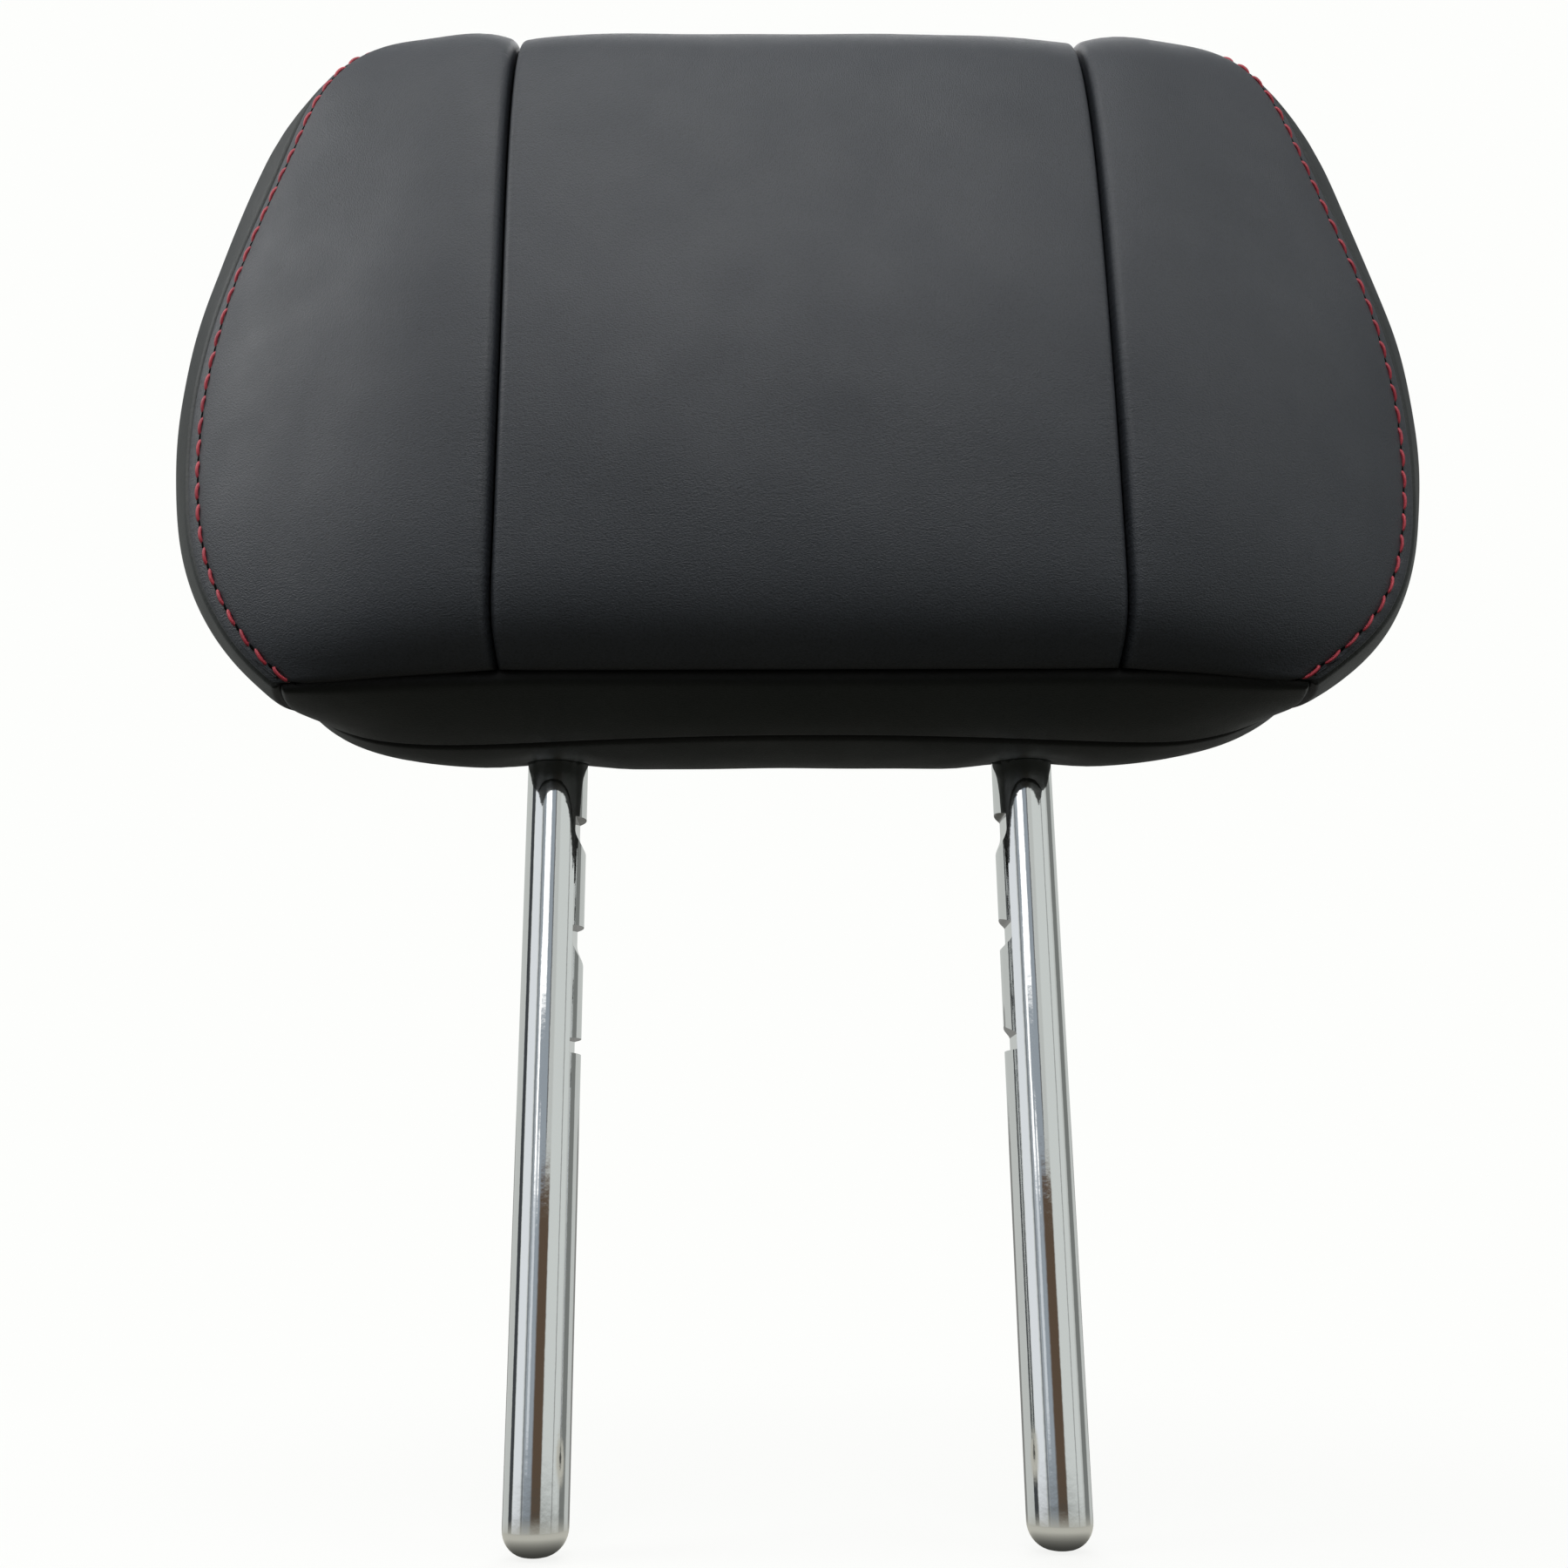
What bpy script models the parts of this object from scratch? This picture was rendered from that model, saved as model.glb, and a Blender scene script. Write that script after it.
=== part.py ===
# A car headrest: a sewn leather cover over moulded foam, carried by a plastic insert
# that is clamped round one bent steel rod. The rod's two legs are the notched posts.
# Metres, +Z up, the front of the pad faces -Y, the posts' tips stand at z = 0.
import math

import bmesh
import bpy
import numpy as np
from mathutils import Vector

# The rod
POST_SPACING = 0.110
POST_DIAMETER = 0.014
POST_EXPOSED = 0.1715
POST_TIP_ROUNDING = 0.0055
ROD_HEIGHT_IN_PAD = 0.1245
ROD_BEND_RADIUS = 0.030
ROD_SIDES = 24

# The notches on the facing sides of the posts, with the length of the slope above and
# below each notch's floor, from the top notch down
NOTCH_DEPTH = 0.002
NOTCH_PITCH = 0.0255
FIRST_NOTCH_BELOW_PAD = 0.0137
NOTCH_FLOOR = 0.0032
LEFT_NOTCH_SLOPES = [(0.0002, 0.0055), (0.0002, 0.0063), (0.0002, 0.0002)]
RIGHT_NOTCH_SLOPES = [(0.0012, 0.0064), (0.0016, 0.0028), (0.0024, 0.0002)]

# The pad, which sits a little to the right of the posts' middle
PAD_OFFSET = 0.003
PAD_WIDTH = 0.3065
PAD_HEIGHT = 0.187
PAD_FRONT_REACH = 0.066
PAD_REAR_REACH = 0.040
CENTRE_PANEL_WIDTH = 0.130
CENTRE_CROWN = 0.0026
BOLSTER_CROWN = 0.0060
SIDE_CROWN = 0.0135
BAND_CROWN = 0.0015

# How square each crown is: between its side seams, towards its foot and towards its head
CENTRE_FULLNESS = (5, 4, 4)
BOLSTER_FULLNESS = (3.2, 2.5, 2.4)
SIDE_FULLNESS = (2.4, 1.8, 4)
BACK_FULLNESS = 5
BAND_FULLNESS = (2, 6)
CREST_FADE = 4

# The cover
LEATHER_THICKNESS = 0.002
SEAM_DIP = 0.0010
STITCH_FROM_SEAM = 0.004
STITCH_PITCH = 0.0059
STITCH_LENGTH = 0.0045
THREAD_DIAMETER = 0.0010
THREAD_NECK_DIAMETER = 0.00025

# The insert
INSERT_DEPTH = 0.030
INSERT_HEIGHT = 0.130
INSERT_SIDE_MARGIN = 0.0095
INSERT_WALL = 0.003
INSERT_ABOVE_PAD_BASE = 0.0125
SCREW_SPACING = 0.060
SCREW_DIAMETER = 0.004
SCREW_HEAD_DIAMETER = 0.0075
SCREW_HEAD_HEIGHT = 0.0025
SCREW_SOCKET_DIAMETER = 0.003
SCREW_SOCKET_DEPTH = 0.0015
SCREW_POINT_COVER = 0.004

# The collars and the closure
GROMMET_FLANGE_DIAMETER = 0.022
GROMMET_NECK_DIAMETER = 0.018
GROMMET_FLANGE_HEIGHT = 0.0015
GROMMET_HEIGHT = 0.006
CLOSURE_LENGTH = 0.140
CLOSURE_SHEET = 0.001
CLOSURE_HOOK_HEIGHT = 0.0065
CLOSURE_HOOK_WIDTH = 0.0034
CLOSURE_FLANGE = 0.0045
CLOSURE_FLANGE_RISE = 0.0013
CLOSURE_PLAY = 0.0015
CLOSURE_LIFT = 0.0009

# Fits
GAP = 0.0003
FOAM_GAP = 0.0005
ROUND_SLACK = 0.0003

# Mesh steps, and how far a cutter starts outside what it cuts
PANEL_ROWS = 16
CENTRE_COLUMNS = 6
BOLSTER_COLUMNS = 4
SIDE_COLUMNS = 4
BEND_STEPS = 8
POCKET_STEPS = 6
TIP_STEPS = 5
SCREW_SIDES = 12
SOCKET_SIDES = 6
CUTTER_START = 0.019

POST_RADIUS = POST_DIAMETER / 2
POST_X = POST_SPACING / 2
PAD_BASE = POST_EXPOSED
INSERT_BOTTOM = PAD_BASE + INSERT_ABOVE_PAD_BASE
INSERT_TOP = INSERT_BOTTOM + INSERT_HEIGHT
INSERT_HALF_WIDTH = POST_X + POST_RADIUS + INSERT_SIDE_MARGIN
CROSSBAR_Z = PAD_BASE + ROD_HEIGHT_IN_PAD

# The cover's seams as fractions: x of the half width, y of the reach to the front (negative)
# or the rear (positive), z of the pad's height. Each runs over the right half of the pad.
CENTRE_SEAM = [
    (0.99, -0.80, 0.019), (1.00, -0.92, 0.060), (1.00, -0.98, 0.142), (1.00, -0.99, 0.26),
    (1.01, -0.95, 0.45), (1.03, -0.85, 0.63), (1.05, -0.69, 0.825), (1.06, -0.50, 0.940),
    (1.07, -0.23, 0.992), (1.08, 0.12, 0.990), (1.08, 0.50, 0.957),
]
STITCHED_SEAM = [
    (0.697, -0.73, 0.019), (0.783, -0.71, 0.070), (0.855, -0.65, 0.160), (0.893, -0.58, 0.275),
    (0.905, -0.53, 0.390), (0.892, -0.50, 0.52), (0.857, -0.47, 0.65), (0.818, -0.445, 0.770),
    (0.792, -0.42, 0.855), (0.765, -0.39, 0.910), (0.732, -0.34, 0.949), (0.704, -0.24, 0.971),
    (0.690, -0.08, 0.982), (0.685, 0.18, 0.979), (0.684, 0.45, 0.955),
]
REAR_SEAM = [
    (0.780, 0.55, 0.912), (0.835, 0.65, 0.82), (0.893, 0.75, 0.69), (0.933, 0.81, 0.53),
    (0.930, 0.80, 0.38), (0.895, 0.70, 0.25), (0.830, 0.45, 0.142), (0.748, 0.05, 0.062),
    (0.684, -0.21, 0.016), (0.642, -0.42, -0.001),
]
BACK_PROFILE = [
    (0.50, 0.957), (0.75, 0.88), (0.91, 0.78), (0.98, 0.63), (1.00, 0.47), (0.96, 0.31),
    (0.83, 0.17), (0.60, 0.065), (0.27, 0.012), (-0.09, -0.009), (-0.42, -0.010),
]
INSIDE_THE_PAD = (0.0, -0.2, 0.48)

LEATHER = ((0.045, 0.048, 0.052), 0.55)
BLACK_PLASTIC = ((0.02, 0.02, 0.022), 0.5)
PANEL_NAMES = (
    "front_centre_panel", "front_left_bolster", "front_right_bolster",
    "left_side_panel", "right_side_panel", "back_panel", "bottom_panel",
)


def clear_scene():
    """Take every object that is in the scene out of the file."""
    for old in list(bpy.data.objects):
        bpy.data.objects.remove(old, do_unlink=True)


def finish(name, colour, roughness, metallic=0.0):
    """One plain surface material for one sub-part."""
    material = bpy.data.materials.new(name)
    material.use_nodes = True
    shader = material.node_tree.nodes["Principled BSDF"]
    shader.inputs["Base Color"].default_value = (*colour, 1.0)
    shader.inputs["Roughness"].default_value = roughness
    shader.inputs["Metallic"].default_value = metallic
    return material


def add_object(name, mesh, material):
    """A named object with its own material."""
    obj = bpy.data.objects.new(name, mesh)
    bpy.context.scene.collection.objects.link(obj)
    if material is not None:
        mesh.materials.append(material)
    return obj


def mesh_from(name, points, faces):
    """A closed mesh from points and faces, with its faces turned outwards."""
    shape = bmesh.new()
    verts = [shape.verts.new(point) for point in points]
    for face in faces:
        shape.faces.new([verts[index] for index in face])
    bmesh.ops.recalc_face_normals(shape, faces=shape.faces)
    mesh = bpy.data.meshes.new(name)
    shape.to_mesh(mesh)
    shape.free()
    return mesh


def as_cutter(obj):
    """Keep a shape that only cuts out of the renders."""
    obj.hide_render = True
    obj.display_type = "WIRE"
    return obj


def cut(obj, cutter):
    """Take the cutter's shape out of an object."""
    modifier = obj.modifiers.new("cut_" + cutter.name, "BOOLEAN")
    modifier.operation = "DIFFERENCE"
    modifier.solver = "EXACT"
    modifier.object = cutter


def box_mesh(name, low, high):
    """A box between two corners."""
    low, high = Vector(low), Vector(high)
    points = [(x, y, z) for x in (low.x, high.x) for y in (low.y, high.y) for z in (low.z, high.z)]
    faces = [(0, 1, 3, 2), (4, 6, 7, 5), (0, 4, 5, 1), (2, 3, 7, 6), (0, 2, 6, 4), (1, 5, 7, 3)]
    return mesh_from(name, points, faces)


def turned_mesh(name, profile, sides):
    """A body turned about Z from (radius, height) pairs, bottom to top, with flat ends."""
    points = []
    for radius, height in profile:
        for side in range(sides):
            angle = 2 * math.pi * side / sides
            points.append((radius * math.cos(angle), radius * math.sin(angle), height))
    faces = [tuple(range(sides)), tuple(range(len(points) - sides, len(points)))]
    for ring in range(len(profile) - 1):
        for side in range(sides):
            after = (side + 1) % sides
            low, high = ring * sides, (ring + 1) * sides
            faces.append((low + side, low + after, high + after, high + side))
    return mesh_from(name, points, faces)


def ring_mesh(name, outer, bore, sides):
    """A turned ring: (radius, height) pairs up its outside, and a plain bore."""
    heights = (outer[0][1], outer[-1][1])
    loop = list(outer) + [(bore, heights[1]), (bore, heights[0])]
    points = []
    for radius, height in loop:
        for side in range(sides):
            angle = 2 * math.pi * side / sides
            points.append((radius * math.cos(angle), radius * math.sin(angle), height))
    faces = []
    for ring in range(len(loop)):
        low, high = ring * sides, ((ring + 1) % len(loop)) * sides
        for side in range(sides):
            after = (side + 1) % sides
            faces.append((low + side, low + after, high + after, high + side))
    return mesh_from(name, points, faces)


def tube_mesh(name, route, radii, sides):
    """A round bar along a route in the XZ plane, with a radius at each point."""
    points, faces = [], []
    for index, centre in enumerate(route):
        before, after = route[max(index - 1, 0)], route[min(index + 1, len(route) - 1)]
        along = (after - before).normalized()
        across = Vector((0, 1, 0))
        beside = along.cross(across)
        for side in range(sides):
            angle = 2 * math.pi * side / sides
            offset = across * math.cos(angle) + beside * math.sin(angle)
            points.append(centre + radii[index] * offset)
    for ring in range(len(route) - 1):
        for side in range(sides):
            after = (side + 1) % sides
            low, high = ring * sides, (ring + 1) * sides
            faces.append((low + side, low + after, high + after, high + side))
    faces += [tuple(range(sides)), tuple(range(len(points) - sides, len(points)))]
    return mesh_from(name, points, faces)


def extruded_mesh(name, outline, axis, low, high):
    """A prism: an outline in the plane across the axis, between two places on it."""
    order = {"X": (2, 0, 1), "Y": (0, 2, 1)}[axis]
    points = []
    for place in (low, high):
        for first, second in outline:
            flat = (first, second, place)
            points.append(tuple(flat[index] for index in order))
    count = len(outline)
    faces = [tuple(range(count)), tuple(range(count, 2 * count))]
    faces += [(i, (i + 1) % count, (i + 1) % count + count, i + count) for i in range(count)]
    return mesh_from(name, points, faces)


# The bent rod
def rod_route(start):
    """The rod's centre line from one post's start over the crossbar to the other."""
    corner = ROD_BEND_RADIUS
    inner_x, inner_z = POST_X - corner, CROSSBAR_Z - corner
    bend = [
        Vector((inner_x + corner * math.sin(angle), 0, inner_z + corner * math.cos(angle)))
        for angle in (math.pi / 2 * step / BEND_STEPS for step in range(BEND_STEPS + 1))
    ]
    right = [Vector((POST_X, 0, start))] + bend[::-1]
    left = [Vector((-point.x, 0, point.z)) for point in right]
    return left + right[::-1]


def build_rod():
    """One steel rod bent into a U, rounded at its tips and notched on its inner sides."""
    route = rod_route(0.0)
    body = route[1:-1]
    tips, tip_radii = [], []
    for step in range(TIP_STEPS + 1):
        angle = math.pi / 2 * step / TIP_STEPS
        tips.append(POST_TIP_ROUNDING * (1 - math.cos(angle)))
        tip_radii.append(POST_RADIUS - POST_TIP_ROUNDING * (1 - math.sin(angle)))
    left = [Vector((-POST_X, 0, height)) for height in tips]
    right = [Vector((POST_X, 0, height)) for height in tips[::-1]]
    radii = tip_radii + [POST_RADIUS] * len(body) + tip_radii[::-1]
    mesh = tube_mesh("post_frame", left + body + right, radii, ROD_SIDES)
    rod = add_object("post_frame", mesh, finish("bright_chrome", (0.62, 0.63, 0.64), 0.08, 1.0))
    for side, slopes in ((-1, LEFT_NOTCH_SLOPES), (1, RIGHT_NOTCH_SLOPES)):
        for number, (above, below) in enumerate(slopes):
            cut(rod, notch_cutter(side, number, above, below))


def notch_cutter(side, number, above, below):
    """The prism that cuts one notch into the inner side of one post."""
    top = PAD_BASE - FIRST_NOTCH_BELOW_PAD - number * NOTCH_PITCH
    bottom = top - NOTCH_FLOOR
    floor = POST_X - POST_RADIUS + NOTCH_DEPTH
    face = POST_X - POST_RADIUS
    past = face - NOTCH_DEPTH
    outline = [
        (side * past, top + 2 * above), (side * floor, top),
        (side * floor, bottom), (side * past, bottom - 2 * below),
    ]
    name = "notch_cutter_%s_%d" % ("left" if side < 0 else "right", number + 1)
    mesh = extruded_mesh(name, outline, "Y", -POST_RADIUS, POST_RADIUS)
    return as_cutter(add_object(name, mesh, None))


# The cover's skin
def placed(x, y, z, half_width):
    """A point of the pad from its fractions."""
    reach = PAD_FRONT_REACH if y < 0 else PAD_REAR_REACH
    return np.array([x * half_width, y * reach, PAD_BASE + z * PAD_HEIGHT])


PAD_CENTRE = placed(*INSIDE_THE_PAD, PAD_WIDTH / 2)


def smooth_rail(points, fractions):
    """A natural cubic curve through points, read at fractions of its length."""
    points = np.array(points)
    steps = np.linalg.norm(np.diff(points, axis=0), axis=1)
    knots = np.concatenate([[0.0], np.cumsum(steps)])
    count = len(points)
    matrix, wanted = np.eye(count), np.zeros((count, 3))
    for i in range(1, count - 1):
        matrix[i, i - 1:i + 2] = steps[i - 1], 2 * (steps[i - 1] + steps[i]), steps[i]
        slope_before = (points[i] - points[i - 1]) / steps[i - 1]
        slope_after = (points[i + 1] - points[i]) / steps[i]
        wanted[i] = 6 * (slope_after - slope_before)
    bends = np.linalg.solve(matrix, wanted)
    rail = []
    for place in np.asarray(fractions) * knots[-1]:
        i = int(np.clip(np.searchsorted(knots, place) - 1, 0, count - 2))
        span, after, before = steps[i], place - knots[i], knots[i + 1] - place
        curved = (bends[i] * before**3 + bends[i + 1] * after**3) / (6 * span)
        start = (points[i] / span - bends[i] * span / 6) * before
        end = (points[i + 1] / span - bends[i + 1] * span / 6) * after
        rail.append(curved + start + end)
    return np.array(rail)


def swell(place, power, far_power=None):
    """How full a panel is at a place between its two edges, from 0 to 1."""
    from_middle = 2 * np.asarray(place) - 1
    powers = np.where(from_middle < 0, power, far_power or power)
    return 1 - np.abs(from_middle) ** powers


def panel_steps(widths, columns):
    """Where a panel's columns lie at each row: evenly, with one more close to each seam."""
    close = STITCH_FROM_SEAM / widths
    even = np.linspace(0, 1, columns + 1)[1:-1]
    return np.array([[0, near, *even, 1 - near, 1] for near in close])


def lofted_panel(rail_a, rail_b, across, crown, fullness):
    """A panel between two seams, crowned outwards between its four edges."""
    side_fullness, foot_fullness, head_fullness = fullness
    middle = (rail_a + rail_b) / 2
    along = np.gradient(middle, axis=0)
    normal = np.cross(rail_b - rail_a, along)
    normal /= np.linalg.norm(normal, axis=1)[:, None]
    facing = np.sign(np.sum(normal * (middle - PAD_CENTRE), axis=1))
    rise = crown * swell(np.linspace(0, 1, len(rail_a)), foot_fullness, head_fullness)
    lift = normal * (facing * rise)[:, None]
    across = np.broadcast_to(across, (len(rail_a), np.shape(across)[-1]))[:, :, None]
    flat = rail_a[:, None] * (1 - across) + rail_b[:, None] * across
    return flat + lift[:, None] * swell(across, side_fullness)


def mirrored(grid):
    """The same panel or seam on the left half of the pad."""
    return grid * np.array([-1.0, 1.0, 1.0])


def cover_panels():
    """Every panel of the cover as a grid of points, sharing its seams with its neighbours."""
    rows = np.linspace(0, 1, PANEL_ROWS + 1)
    half = PAD_WIDTH / 2
    centre = smooth_rail([placed(*p, CENTRE_PANEL_WIDTH / 2) for p in CENTRE_SEAM], rows)
    stitched = smooth_rail([placed(*p, half) for p in STITCHED_SEAM], rows)
    rear = smooth_rail([placed(*p, half) for p in REAR_SEAM], rows)
    centre_steps = panel_steps(2 * centre[:, 0], CENTRE_COLUMNS)
    bolster_steps = panel_steps(np.linalg.norm(stitched - centre, axis=1), BOLSTER_COLUMNS)
    side_steps = np.linspace(0, 1, SIDE_COLUMNS + 1)
    front = lofted_panel(mirrored(centre), centre, centre_steps, CENTRE_CROWN, CENTRE_FULLNESS)
    bolster = lofted_panel(centre, stitched, bolster_steps, BOLSTER_CROWN, BOLSTER_FULLNESS)
    boxing = lofted_panel(stitched, rear[::-1], side_steps, SIDE_CROWN, SIDE_FULLNESS)
    panels = {"front_centre_panel": front}
    for side, turn in (("left", mirrored), ("right", np.copy)):
        panels["front_%s_bolster" % side] = turn(bolster)
        panels["%s_side_panel" % side] = turn(boxing)
    crest = front_edge(panels, -1)
    panels["back_panel"] = back_grid(crest, boxing[-1], rear)
    panels["bottom_panel"] = band_grid(front_edge(panels, 0), panels["back_panel"][-1])
    return panels


def front_edge(panels, row):
    """One end row of the front's three panels, from the left seam to the right."""
    left = panels["front_left_bolster"][row][::-1]
    centre = panels["front_centre_panel"][row]
    right = panels["front_right_bolster"][row]
    return np.concatenate([left, centre[1:-1], right])


def back_grid(crest, short_edge, rear):
    """The back panel: down from the crest seam, round the bottom and forward to the closure."""
    rail = np.concatenate([short_edge, rear[1:]])
    lengths = np.concatenate([[0], np.cumsum(np.linalg.norm(np.diff(rail, axis=0), axis=1))])
    guide = smooth_rail([placed(0, y, z, 0) for y, z in BACK_PROFILE], lengths / lengths[-1])
    across = (crest[:, 0] / crest[-1, 0] + 1) / 2
    opposite = mirrored(rail)
    flat = opposite[:, None] * (1 - across)[None, :, None] + rail[:, None] * across[None, :, None]
    rise = guide - (rail + opposite) / 2
    grid = flat + rise[:, None] * swell(across, BACK_FULLNESS)[None, :, None]
    fade = (1 - np.linspace(0, 1, len(rail))) ** CREST_FADE
    return grid + (crest - grid[0])[None] * fade[:, None, None]


def band_grid(front, slit):
    """The bottom panel between the front panels' lower ends and the closure."""
    steps = np.linspace(0, 1, SIDE_COLUMNS + 1)
    grid = front[None] * (1 - steps)[:, None, None] + slit[None] * steps[:, None, None]
    across = np.linspace(0, 1, len(front))
    deep, wide = BAND_FULLNESS
    grid[:, :, 2] -= BAND_CROWN * swell(steps, deep)[:, None] * swell(across, wide)[None]
    return grid


def weld(panels):
    """Number each point of the cover once: the points, and each panel as rows of numbers."""
    points, numbers, numbered = [], {}, {}
    for name, grid in panels.items():
        rows = []
        for row in grid:
            found = []
            for point in row:
                key = tuple(np.round(point, 7) + 0.0)
                if key not in numbers:
                    numbers[key] = len(points)
                    points.append(point)
                found.append(numbers[key])
            rows.append(found)
        numbered[name] = rows
    return np.array(points) + [PAD_OFFSET, 0, 0], numbered


def triangles(rows):
    """Two triangles for each cell of a grid of point numbers."""
    for low, high in zip(rows[:-1], rows[1:]):
        for i in range(len(low) - 1):
            yield low[i], low[i + 1], high[i + 1]
            yield low[i], high[i + 1], high[i]


def outward_normals(points, numbered):
    """The cover's normal at each point, over all the panels that meet there."""
    normals = np.zeros_like(points)
    for rows in numbered.values():
        for a, b, c in triangles(rows):
            face = np.cross(points[b] - points[a], points[c] - points[a])
            if face @ ((points[a] + points[b] + points[c]) / 3 - PAD_CENTRE) < 0:
                face = -face
            for index in (a, b, c):
                normals[index] += face
    return normals / np.linalg.norm(normals, axis=1)[:, None]


def edge_cells(grid):
    """The row and column of each point round a grid's edge, in order."""
    rows, columns = grid.shape[0] - 1, grid.shape[1] - 1
    loop = [(0, j) for j in range(columns)] + [(i, columns) for i in range(rows)]
    loop += [(rows, j) for j in range(columns, 0, -1)] + [(i, 0) for i in range(rows, 0, -1)]
    return loop


def panel_mesh(name, numbered_rows, points, normals):
    """A leather panel with its thickness, set back from its seams by half a gap."""
    numbers = np.array(numbered_rows)
    outer, inner = points[numbers].copy(), points[numbers] - LEATHER_THICKNESS * normals[numbers]
    loop = edge_cells(numbers)
    edge = np.array([numbers[cell] for cell in loop])
    tangents = points[np.roll(edge, -1)] - points[np.roll(edge, 1)]
    inward = np.cross(normals[edge], tangents)
    inward /= np.linalg.norm(inward, axis=1)[:, None]
    inward *= np.sign(np.sum(inward * (points[numbers].mean(axis=(0, 1)) - points[edge])))
    for cell, step in zip(loop, inward):
        outer[cell] += GAP / 2 * step - SEAM_DIP * normals[numbers[cell]]
        inner[cell] += GAP / 2 * step
    flat = [tuple(p) for p in outer.reshape(-1, 3)] + [tuple(p) for p in inner.reshape(-1, 3)]
    count = outer.shape[0] * outer.shape[1]
    index = np.arange(count).reshape(outer.shape[:2])
    faces = list(triangles(index)) + list(triangles(index + count))
    for here, there in zip(loop, loop[1:] + loop[:1]):
        first, second = sorted((here, there), key=lambda cell: numbers[cell])
        a, b = index[first], index[second]
        faces += [(a, b, b + count), (a, b + count, a + count)]
    return mesh_from(name, flat, faces)


def build_cover(points, numbered, normals):
    """The seven leather panels, with a hole for each post in the back panel."""
    for name in PANEL_NAMES:
        mesh = panel_mesh(name, numbered[name], points, normals)
        panel = add_object(name, mesh, finish("leather_" + name, *LEATHER))
        if name == "back_panel":
            for side in (-1, 1):
                hole = POST_RADIUS + ROUND_SLACK
                below = PAD_BASE - CUTTER_START
                cut(panel, upright_cutter("post_hole", side, hole, below, INSERT_BOTTOM))


def upright_cutter(label, side, radius, low, high):
    """A round cutter on one post's axis."""
    name = "%s_%s" % (label, "left" if side < 0 else "right")
    mesh = turned_mesh(name, [(radius, low), (radius, high)], ROD_SIDES)
    cutter = as_cutter(add_object(name, mesh, None))
    cutter.location = (side * POST_X, 0, 0)
    return cutter


def build_foam(points, numbered, normals):
    """The moulded foam: the cover's inner shape, with a pocket for the insert."""
    core = points - (LEATHER_THICKNESS + FOAM_GAP) * normals
    faces = [face for rows in numbered.values() for face in triangles(rows)]
    mesh = mesh_from("foam_core", [tuple(p) for p in core], faces)
    foam = add_object("foam_core", mesh, finish("moulded_foam", (0.16, 0.16, 0.15), 0.95))
    low = (-INSERT_HALF_WIDTH - GAP, -INSERT_DEPTH / 2 - GAP, INSERT_BOTTOM - GAP)
    high = (INSERT_HALF_WIDTH + GAP, INSERT_DEPTH / 2 + GAP, INSERT_TOP + GAP)
    cut(foam, as_cutter(add_object("insert_pocket", box_mesh("insert_pocket", low, high), None)))
    for side in (-1, 1):
        radius = GROMMET_FLANGE_DIAMETER / 2 + GAP
        low, high = PAD_BASE - CUTTER_START, INSERT_BOTTOM + GAP
        cut(foam, upright_cutter("grommet_well", side, radius, low, high))
    half = CLOSURE_LENGTH / 2 + GAP
    y, z = slit_place()
    reach = CLOSURE_FLANGE + CLOSURE_HOOK_WIDTH
    top = closure_base() + CLOSURE_HOOK_HEIGHT + GAP
    low = (PAD_OFFSET - half, y - reach, z - LEATHER_THICKNESS)
    high = (PAD_OFFSET + half, y + reach, top)
    cut(foam, as_cutter(add_object("closure_channel", box_mesh("closure_channel", low, high), None)))


# The insert
def insert_half(name, side):
    """One half of the insert: a tray with cradles for the rod and ribs between."""
    low = (-INSERT_HALF_WIDTH, -INSERT_DEPTH / 2, INSERT_BOTTOM)
    high = (INSERT_HALF_WIDTH, -GAP / 2, INSERT_TOP)
    if side > 0:
        low, high = (low[0], GAP / 2, low[2]), (high[0], INSERT_DEPTH / 2, high[2])
    return add_object(name, box_mesh(name, low, high), finish("moulded_" + name, *BLACK_PLASTIC))


def channel_cutter():
    """The round channel that the rod lies in."""
    route = rod_route(INSERT_BOTTOM - INSERT_WALL)
    radii = [POST_RADIUS + ROUND_SLACK] * len(route)
    mesh = tube_mesh("rod_channel", route, radii, ROD_SIDES)
    return as_cutter(add_object("rod_channel", mesh, None))


def pocket_cutters():
    """Four open pockets between the ribs, their upper outer corners following the rod's bends."""
    reach = POST_X - POST_RADIUS - INSERT_WALL
    top = CROSSBAR_Z - POST_RADIUS - INSERT_WALL
    bottom = INSERT_BOTTOM + SCREW_HEAD_DIAMETER + 2 * INSERT_WALL
    middle = (top + bottom) / 2
    rib = INSERT_WALL / 2
    depth = INSERT_DEPTH / 2 - INSERT_WALL
    corner = max(ROD_BEND_RADIUS - POST_RADIUS - INSERT_WALL, INSERT_WALL)
    arc = [
        (reach - corner * (1 - math.sin(angle)), top - corner * (1 - math.cos(angle)))
        for angle in (math.pi / 2 * step / POCKET_STEPS for step in range(POCKET_STEPS + 1))
    ]
    for side in (-1, 1):
        upper = [(rib, middle + rib), (rib, top)] + arc + [(reach, middle + rib)]
        lower = [(rib, bottom), (rib, middle - rib), (reach, middle - rib), (reach, bottom)]
        for label, outline in (("upper", upper), ("lower", lower)):
            name = "insert_pocket_%s_%s" % (label, "left" if side < 0 else "right")
            flat = [(side * x, z) for x, z in outline]
            yield as_cutter(add_object(name, extruded_mesh(name, flat, "Y", -depth, depth), None))


def screw_places():
    """The four screws' places: below the pockets and above the crossbar."""
    low = INSERT_BOTTOM + INSERT_WALL + SCREW_HEAD_DIAMETER / 2
    high = (CROSSBAR_Z + POST_RADIUS + INSERT_TOP) / 2
    half = SCREW_SPACING / 2
    return [(-half, high), (half, high), (-half, low), (half, low)]


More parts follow.
